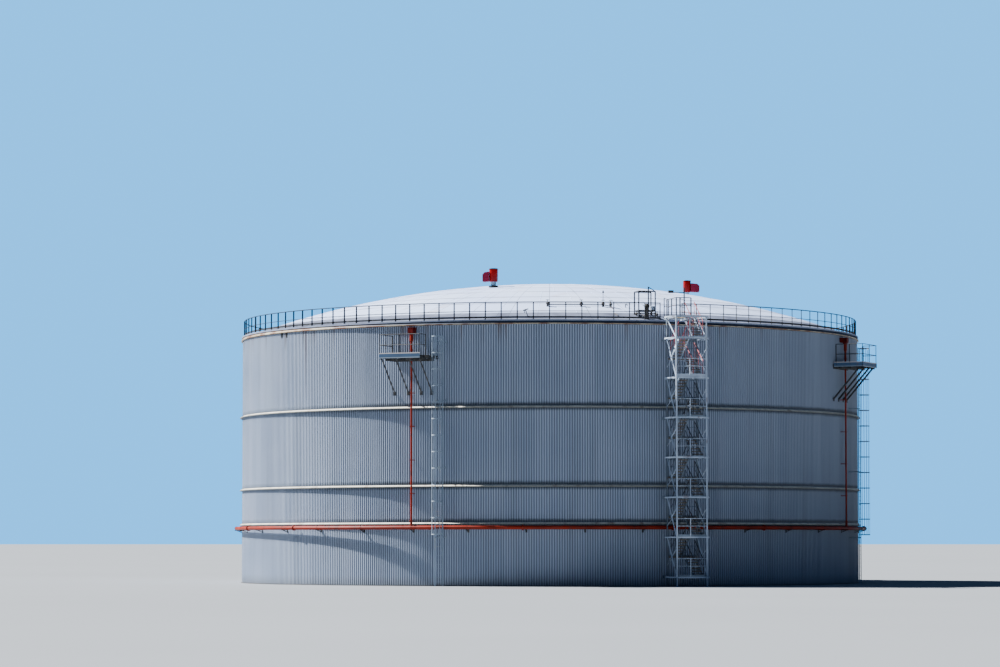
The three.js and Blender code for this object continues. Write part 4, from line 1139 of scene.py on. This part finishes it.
line_mesh = foam_line()
print("foam line triangles:", sum(len(face.verts) - 2 for face in line_mesh.faces))


# %% Brackets and foam chamber
def brackets():
    """The wall brackets that carry the ring main, ten degrees apart, with a clip over the pipe."""
    mesh, bracket, hoop = bmesh.new(), bmesh.new(), bmesh.new()
    bar(bracket, (0, -WALL_FACE, 3.84), (0, -MAIN_RADIUS - 0.13, 3.84), angle_bar(0.06, 0.008))
    bar(bracket, (0, -WALL_FACE - 0.005, 3.69), (0, -MAIN_RADIUS, 3.83), angle_bar(0.045, 0.007))
    plate(bracket, (-0.06, 0.08), (-WALL_FACE - 0.01, -WALL_FACE + 0.003), (3.66, 3.95))
    ring(hoop, circle(0.02, 5, MAIN_WIDTH / 2 + 0.012, 0), 180, 10, 0)
    over = Matrix.Rotation(math.radians(90), 4, "Y") @ turned(180)
    absorb(bracket, hoop, [Matrix.Translation((0.03, -MAIN_RADIUS, MAIN_LEVEL)) @ over])
    absorb(mesh, bracket, [turned(angle) for angle in range(-40, 41, 10)])
    return mesh


def chamber():
    """A box with a lid over the riser's cone, and its outlet through the wall."""
    mesh = bmesh.new()
    plate(mesh, (-0.19, 0.19), (-RISER_OUT - 0.19, -23.0), (17.36, 17.7))
    plate(mesh, (-0.205, 0.205), (-RISER_OUT - 0.2, -22.98), (17.695, 17.715))
    tube(mesh, (0, -RISER_OUT, 17.24), (0, -RISER_OUT, 17.36), 0.3, 14, 0.38)
    plate(mesh, (-0.16, 0.16), (-23.06, -WALL_FACE), (17.4, 17.68))
    for x in (-0.16, 0.16):
        tube(mesh, (x, -RISER_OUT - 0.19, 17.54), (x, -RISER_OUT - 0.206, 17.54), 0.05, 6)
    return mesh


bracket_mesh, chamber_mesh = brackets(), chamber()
print("faces of the brackets:", len(bracket_mesh.faces), "and of the chamber:", len(chamber_mesh.faces))

# %% [markdown]
# ## Foam platforms
# Each platform is a frame with a grating, a toe board at the front and the left, and four slanting
# struts to the wall. Its rail opens on the right, where a short step leads to the ladder's cage. The
# grating and the rails are the same kinds of bar as on the tower, so the same functions draw them.

# %% Frame of a foam platform
DECK_TOP, DECK_OUT, DECK_HALF, STEP_END, STEP_OUT = 15.75, 25.2, 1.54, 1.86, 24.5
DECK_RAIL, DECK_KNEE = 1.42, 0.7
STRUTS = (-1.5, -0.44, 0.55, 1.36)
WALL_IN = -22.93


def platform_frame():
    """Flat bars under the deck, struts to the wall, and the rail's posts and tubes."""
    mesh = bmesh.new()
    frame_z = (DECK_TOP - 0.2, DECK_TOP - 0.035)
    plate(mesh, (-DECK_HALF, DECK_HALF), (-DECK_OUT + 0.01, -DECK_OUT + 0.06), frame_z)
    for y in (-24.3, -23.6, -23.02):
        plate(mesh, (-DECK_HALF, DECK_HALF), (y, y + 0.06), (DECK_TOP - 0.34, DECK_TOP - 0.2))
    for x in (-DECK_HALF + 0.01, -0.4, 0.6, DECK_HALF - 0.05):
        plate(mesh, (x, x + 0.05), (-DECK_OUT + 0.06, WALL_IN), frame_z)
    plate(mesh, (STEP_END - 0.05, STEP_END), (-STEP_OUT, WALL_IN), frame_z)
    plate(mesh, (DECK_HALF, STEP_END), (-STEP_OUT, -STEP_OUT + 0.05), frame_z)
    for x in STRUTS:
        bar(mesh, (x, -25.1, DECK_TOP - 0.1), (x, -WALL_FACE - 0.005, 13.2), angle_bar(0.105, 0.01))
        plate(mesh, (x - 0.09, x + 0.13), (-WALL_FACE - 0.02, -WALL_FACE + 0.002), (13.08, 13.36))
        plate(mesh, (x - 0.006, x + 0.006), (-25.1, -24.82), (DECK_TOP - 0.3, DECK_TOP - 0.1))
    side, front_y = DECK_HALF - 0.03, -DECK_OUT + 0.03
    corners = [(-side, front_y, 0.05), (0, front_y, 0.05), (side, front_y, 0.05), (-side, -23.2, 0.08),
               (side, -24.2, 0.05), (-side, -24.2, 0.05)]
    for x, y, width in corners:
        upright(mesh, x, y, DECK_TOP - 0.1, DECK_TOP + DECK_RAIL, angle_bar(width, 0.009))
    runs = [(-side, side, front_y), (-side, -side, -23.18), (side, side, -24.18)]
    for z in (DECK_TOP + DECK_RAIL, DECK_TOP + DECK_KNEE):
        for start, end, y in runs:
            tube(mesh, (start, front_y, z), (end, y, z), 0.048, 8)
    return mesh


print("a foam platform reaches", round(DECK_OUT - WALL_FACE, 2), "m from the wall")


# %% Toe board and grating of a foam platform
def platform_toe():
    """A bent board: the upright part, a flange on top and one at the foot."""
    mesh = bmesh.new()
    top, foot = DECK_TOP + 0.15, DECK_TOP - 0.2
    plate(mesh, (-DECK_HALF, DECK_HALF), (-DECK_OUT, -DECK_OUT + 0.008), (foot, top))
    plate(mesh, (-DECK_HALF, -DECK_HALF + 0.008), (-DECK_OUT + 0.009, -23.0), (foot, top))
    for z in (top, foot - 0.008):
        plate(mesh, (-DECK_HALF, DECK_HALF), (-DECK_OUT, -DECK_OUT + 0.05), (z, z + 0.008))
    return mesh


def platform_grating():
    """Four panels, which leave the riser free."""
    mesh = bmesh.new()
    outer, step = -DECK_OUT + 0.05, -STEP_OUT + 0.05
    panels = [((-DECK_HALF + 0.05, -0.13), (outer, WALL_IN)),
              ((0.13, STEP_END - 0.05), (step, WALL_IN)),
              ((0.13, DECK_HALF - 0.05), (outer, step)),
              ((-0.13, 0.13), (outer, -RISER_OUT - 0.16))]
    for x, y in panels:
        grating(mesh, x, y, DECK_TOP, 0.045)
    return mesh


toe_mesh, deck_mesh = platform_toe(), platform_grating()
print("bars in a platform's grating:", len(deck_mesh.faces) // 6)

# %% [markdown]
# ## Caged ladders
# A ladder has two stringers, rungs a foot apart, and a cage of hoops with upright straps, so that
# nobody falls far. Curves with a bevel could draw the hoops, but a flat bar spun about the cage's own
# axis gives the true flat section. The ladder stands off the wall on brackets.

# %% Caged ladder
LADDER_TURN = 5.4
LADDER_OUT, LADDER_HALF, LADDER_TOP = 23.68, 0.25, 17.1
RUNG_STEP = 0.3
HOOP_LEVELS = [3.5 + 1.125 * i for i in range(13)]
CAGE_OUT, CAGE_HALF_WIDTH = LADDER_OUT + 0.4, 0.375


def caged_ladder():
    """Stringers on wall brackets, rungs, and the cage: hoops with two stays each, and straps."""
    mesh = bmesh.new()
    for x in (-LADDER_HALF, LADDER_HALF):
        side = math.copysign(1, x)
        section = [(side * across, up) for across, up in angle_bar(0.065, 0.009)]
        upright(mesh, x, -LADDER_OUT, 0.0, LADDER_TOP, section, (0, -1, 0))
        for level in (3.34, 8.09, 12.67, 16.67):
            bar(mesh, (x, -LADDER_OUT, level), (x, -WALL_FACE - 0.005, level), flat_bar(0.012, 0.06))
            plate(mesh, (x - 0.05, x + 0.05), (-WALL_FACE - 0.015, -WALL_FACE + 0.002),
                  (level - 0.08, level + 0.08))
    for k in range(1, int(LADDER_TOP / RUNG_STEP)):
        z = RUNG_STEP * k
        tube(mesh, (-LADDER_HALF, -LADDER_OUT, z), (LADDER_HALF, -LADDER_OUT, z), 0.026, 6)
    hoop = [(CAGE_HALF_WIDTH - 0.008, 0), (CAGE_HALF_WIDTH, 0), (CAGE_HALF_WIDTH, 0.07),
            (CAGE_HALF_WIDTH - 0.008, 0.07)]
    for level in HOOP_LEVELS:
        ring(mesh, [(radius, height + level) for radius, height in hoop], 264, 20, -132, (0, -CAGE_OUT))
        for x in (-1, 1):
            start = (x * 0.275, -CAGE_OUT + 0.25, level + 0.025)
            bar(mesh, start, (x * LADDER_HALF, -LADDER_OUT, level + 0.025), flat_bar(0.008, 0.05))
    strap = bmesh.new()
    plate(strap, (-0.02, 0.02), (-CAGE_HALF_WIDTH + 0.008, -CAGE_HALF_WIDTH + 0.014),
          (HOOP_LEVELS[0], HOOP_LEVELS[-1] + 0.05))
    middle = Matrix.Translation((0, -CAGE_OUT, 0))
    absorb(mesh, strap, [middle @ turned(angle) for angle in range(-108, 109, 54)])
    return mesh


print("hoops of a cage:", len(HOOP_LEVELS), "from", HOOP_LEVELS[0], "to", HOOP_LEVELS[-1], "m")

# %% The four stations in place
DARK_STEEL = bar_finish("weathered_steel", "181C22", "12161B", "32221B", 0.6, 0.6)
DECK_STEEL = bar_finish("deck_grating_steel", "40352A", "2C2620", "4A2E1C", 0.8, 0.7)


def toe_board_finish():
    """Blue, its blue partly painted shade on the face, with a painted sunlit highlight along its upper
    edge and a pale lower flange.
    """
    f = Finish("toe_board_paint", 0.5)
    # The blue is partly painted shade on the board's face.
    f.tones(f.blotch(0.35, 0.65, 1.0, 1.2, (1, 1, 0.5), 5.0), "3E5F82", "35506E")
    # A painted sunlit highlight along the upper edge.
    f.coat(f.metres(f.z, DECK_TOP + 0.085, DECK_TOP + 0.1), "C3BCBB")
    f.coat(f.metres(f.z, DECK_TOP - 0.15, DECK_TOP - 0.13, 0.7, 0.0), "98A5B2")
    f.coat(f.blotch(0.6, 0.7, 0.4, 5.0, (1, 1, 0.6), 8.0), "6A4A38")
    return f.done()


TOE_PAINT = toe_board_finish()
# Light blue-grey paint; its pale spots are painted sunlit glints.
LADDER_PAINT = bar_finish("ladder_paint", "94A4B4", "708295", "B9AE98", 0.4, 0.55, 0.9)
parts = {
    "foam_pipes": (line_mesh, FOAM_RED, "foam_pipe", "foam_line"),
    "foam_chamber": (chamber_mesh, CHAMBER_SHADED_RED, "foam_pipe", None),
    "foam_main_brackets": (bracket_mesh, DARK_STEEL, "foam_pipe", None),
    "foam_platform_frame": (platform_frame(), DARK_STEEL, "stair_steel", "foam_platform"),
    "foam_platform_toe": (toe_mesh, TOE_PAINT, "stair_steel", None),
    "foam_platform_grating": (deck_mesh, DECK_STEEL, "bare_steel", None),
    "ladder_with_cage": (caged_ladder(), LADDER_PAINT, "railing", "caged_ladder"),
}
for i in range(4):
    for name, (mesh, finish, slot, node) in parts.items():
        ladder_turn = LADDER_TURN if name == "ladder_with_cage" else 0
        nodes = [f"{node}_{i + 1}"] if node else []
        place = turned(STATION_START + 90 * i + ladder_turn)
        make(f"{name}_{i + 1}", mesh.copy(), finish, place, nodes)
print("station triangles:", sum(count for name, count in triangles.items() if name.endswith("_1")))

# %% [markdown]
# ## Roof vents
# A vent lets the tank breathe: a flanged neck, a round drum with a rain cap, and a cowl box at its
# side. The drum and its cap are spun sections, and the cowl is a bent section with inset cheeks.
# They are the brightest things on the tank, so their red has hardly any dust on it.

# %% Vents
VENT_RED = bar_finish("vent_red", "960004", "760003", "3A0508", 0.4, 0.35, 2.0, 0.02, 0.12)
VENT_COWL = bar_finish("vent_cowl_red", "8A1432", "6C1028", "3A0A16", 0.4, 0.45, 2.0, 0.02, 0.15)
VENT_CAP = bar_finish("vent_cap_paint", "2C0C12", "200A0E", "1A1010", 0.4, 0.5, 1.6, 0.1)
VENT_STEEL = bar_finish("vent_neck_steel", "8FB4CC", "7A9DB4", "4A3A30", 0.3, 0.5)
VENTS = [("left", -4.06, -8.82, 0.67, 0.99, -1, 0.47), ("right", 10.32, 0.3, 0.61, 0.9, 1, 0.63)]
for name, x, y, drum, height, side, reach in VENTS:
    base = dome_height(math.hypot(x, y))
    low, high = base + 0.38, base + 0.379 + height
    here = Matrix.Translation((x, y, 0))
    body, cap, cowl, neck, r = bmesh.new(), bmesh.new(), bmesh.new(), bmesh.new(), drum / 2
    ring(body, [(0.02, low), (r * 0.84, low), (r * 0.95, low + 0.07), (r * 0.95, high - 0.085),
                (0.02, high - 0.085)], steps=32)
    ring(cap, [(0.02, high - 0.08), (r, high - 0.08), (r, high - 0.03), (r * 0.8, high),
               (0.02, high)], steps=32)
    for mesh in (body, cap):
        bmesh.ops.remove_doubles(mesh, verts=mesh.verts, dist=0.05)
    x0, x1, top = side * r * 0.97, side * (r + reach), low + height * 0.75
    hood = [(x0, low + 0.02), (x1 - side * 0.07, low), (x1, low + 0.06), (x1, top - 0.2),
            (x1 - side * 0.16, top - 0.04), (x0, top)]
    bar(cowl, (0, -drum * 0.38, 0), (0, drum * 0.38, 0), hood)
    cheeks = [face for face in cowl.faces if abs(face.normal.y) > 0.9]
    bmesh.ops.inset_individual(cowl, faces=cheeks, thickness=0.045, depth=-0.02)
    make(f"vent_drum_{name}", body, VENT_RED, here, [f"roof_vent_{name}"], 35, 0.008)
    make(f"vent_cap_{name}", cap, VENT_CAP, here, smooth=35)
    make(f"vent_cowl_{name}", cowl, VENT_COWL, here, bevel=0.008)
    tube(neck, (0, 0, base - 0.05), (0, 0, low), drum * 0.5, 20, drum * 0.56)
    make(f"vent_neck_{name}", neck, VENT_STEEL, here, smooth=35)
    part = bmesh.new()
    flange(part, (0, 0, base + 0.06), drum * 1.05, 0.03, 8)
    make(f"vent_flange_{name}", part, BARE_STEEL, here, smooth=35)

# %% [markdown]
# ## Roof pipe and small fittings
# A thin pipe runs low over the front of the roof from valve to valve, with a dip pipe that leans and
# short nozzles. Each valve is a flanged body with a stem and a hand wheel. They look like dark
# specks from the ground, so it is their outline that counts, and each outline is spun from a section.

# %% Roof pipe with its valves
PIPE_OUT = 19.15
VALVE_ANGLES = (-0.4, 6.6, 11.2)
VALVE_SECTIONS = [
    [(0.001, -0.1), (0.15, -0.1), (0.15, -0.06), (0.085, -0.05), (0.085, 0.16), (0.13, 0.18),
     (0.13, 0.24), (0.06, 0.3), (0.025, 0.34), (0.025, 0.47), (0.001, 0.47)],
    [(0.1, 0.44), (0.13, 0.44), (0.13, 0.47), (0.1, 0.47)]]


def on_roof(angle, radius, height=0.0):
    """A point at a height over the dome."""
    return polar(angle, radius, dome_height(radius) + height)


def valve():
    """A body between flanges, a bonnet with its stem, and a hand wheel with three spokes across."""
    mesh = bmesh.new()
    for section in VALVE_SECTIONS:
        ring(mesh, section, steps=16)
    bmesh.ops.remove_doubles(mesh, verts=mesh.verts, dist=0.002)
    for angle in (0, 60, 120):
        tube(mesh, polar(angle, 0.12, 0.455), polar(angle + 180, 0.12, 0.455), 0.018, 5)
    return mesh


pipes = bmesh.new()
absorb(pipes, valve(), [Matrix.Translation(on_roof(angle, PIPE_OUT)) for angle in VALVE_ANGLES])
ends = [on_roof(angle, PIPE_OUT, 0.13) for angle in VALVE_ANGLES]
for start, end in zip(ends, ends[1:]):
    tube(pipes, start, end, 0.075, 8)
make("roof_pipe_and_valves", pipes, BARE_STEEL, nodes=["roof_pipe"], smooth=35)
print("triangles of the pipe and its valves:", triangles["roof_pipe_and_valves"])

# %% Small fittings on the roof's front edge
SMALL_VALVES = [  # angle, radius, size
    (12.7, 19.3, 1.0), (16.2, 21.5, 0.7), (17.1, 21.0, 0.6), (18.5, 21.4, 0.75), (19.4, 21.2, 0.6),
    (20.2, 21.5, 0.7)]


FITTING_LINES = [  # two ends as angle, radius and height over the roof, width
    ((11.2, 19.15, 0.4), (11.2, 19.15, 0.95), 0.035), ((11.2, 19.15, 0.13), (12.7, 19.3, 0.08), 0.07),
    ((12.3, 19.3, 0.1), (12.8, 19.9, 0.05), 0.05), ((12.2, 21.0, 0.04), (12.55, 21.65, 0.04), 0.07),
    ((16.0, 21.4, 0.16), (20.4, 21.4, 0.16), 0.07), ((16.6, 21.0, 0.1), (17.4, 21.8, 0.1), 0.06),
    ((15.86, 19.3, 0), (15.86, 19.3, 0.24), 0.06), ((15.86, 19.3, 0.22), (16.15, 19.3, 0.26), 0.06),
    ((16.15, 19.3, 0.26), (16.25, 19.3, 0.12), 0.06), ((-3.99, 21.67, 0), (-4.4, 21.67, 0.44), 0.06),
    ((-4.75, 21.67, 0.38), (-3.85, 21.67, 0.48), 0.08),
    ((-4.75, 21.67, 0.38), (-4.45, 21.67, 0.2), 0.05)]

fittings = bmesh.new()
absorb(fittings, valve(), [Matrix.Translation(on_roof(angle, radius)) @ Matrix.Scale(size, 4)
                           for angle, radius, size in SMALL_VALVES])
for start, end, width in FITTING_LINES:
    tube(fittings, on_roof(*start), on_roof(*end), width, 8)
tube(fittings, on_roof(11.2, 19.15, 0.95), on_roof(11.2, 19.15, 1.12), 0.15, 10, 0.09)
make("roof_small_fittings", fittings, BARE_STEEL, smooth=35)
print("small fittings:", len(SMALL_VALVES) + len(FITTING_LINES) + 1)

# %% Bottom plate
FOOT_STEEL = bar_finish("foot_steel", "55575C", "45474B", "6A4630", 0.9, 0.7, 0.8)
plate_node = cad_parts["bottom_plate"]
plate_node.data.materials.clear()
plate_node.data.materials.append(FOOT_STEEL)
low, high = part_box("bottom_plate")
print("bottom plate:", round(high[0] - low[0], 2), "m across,", round(high[2] - low[2], 3), "m thick")

# %% Triangles added
print("triangles added:", sum(triangles.values()))
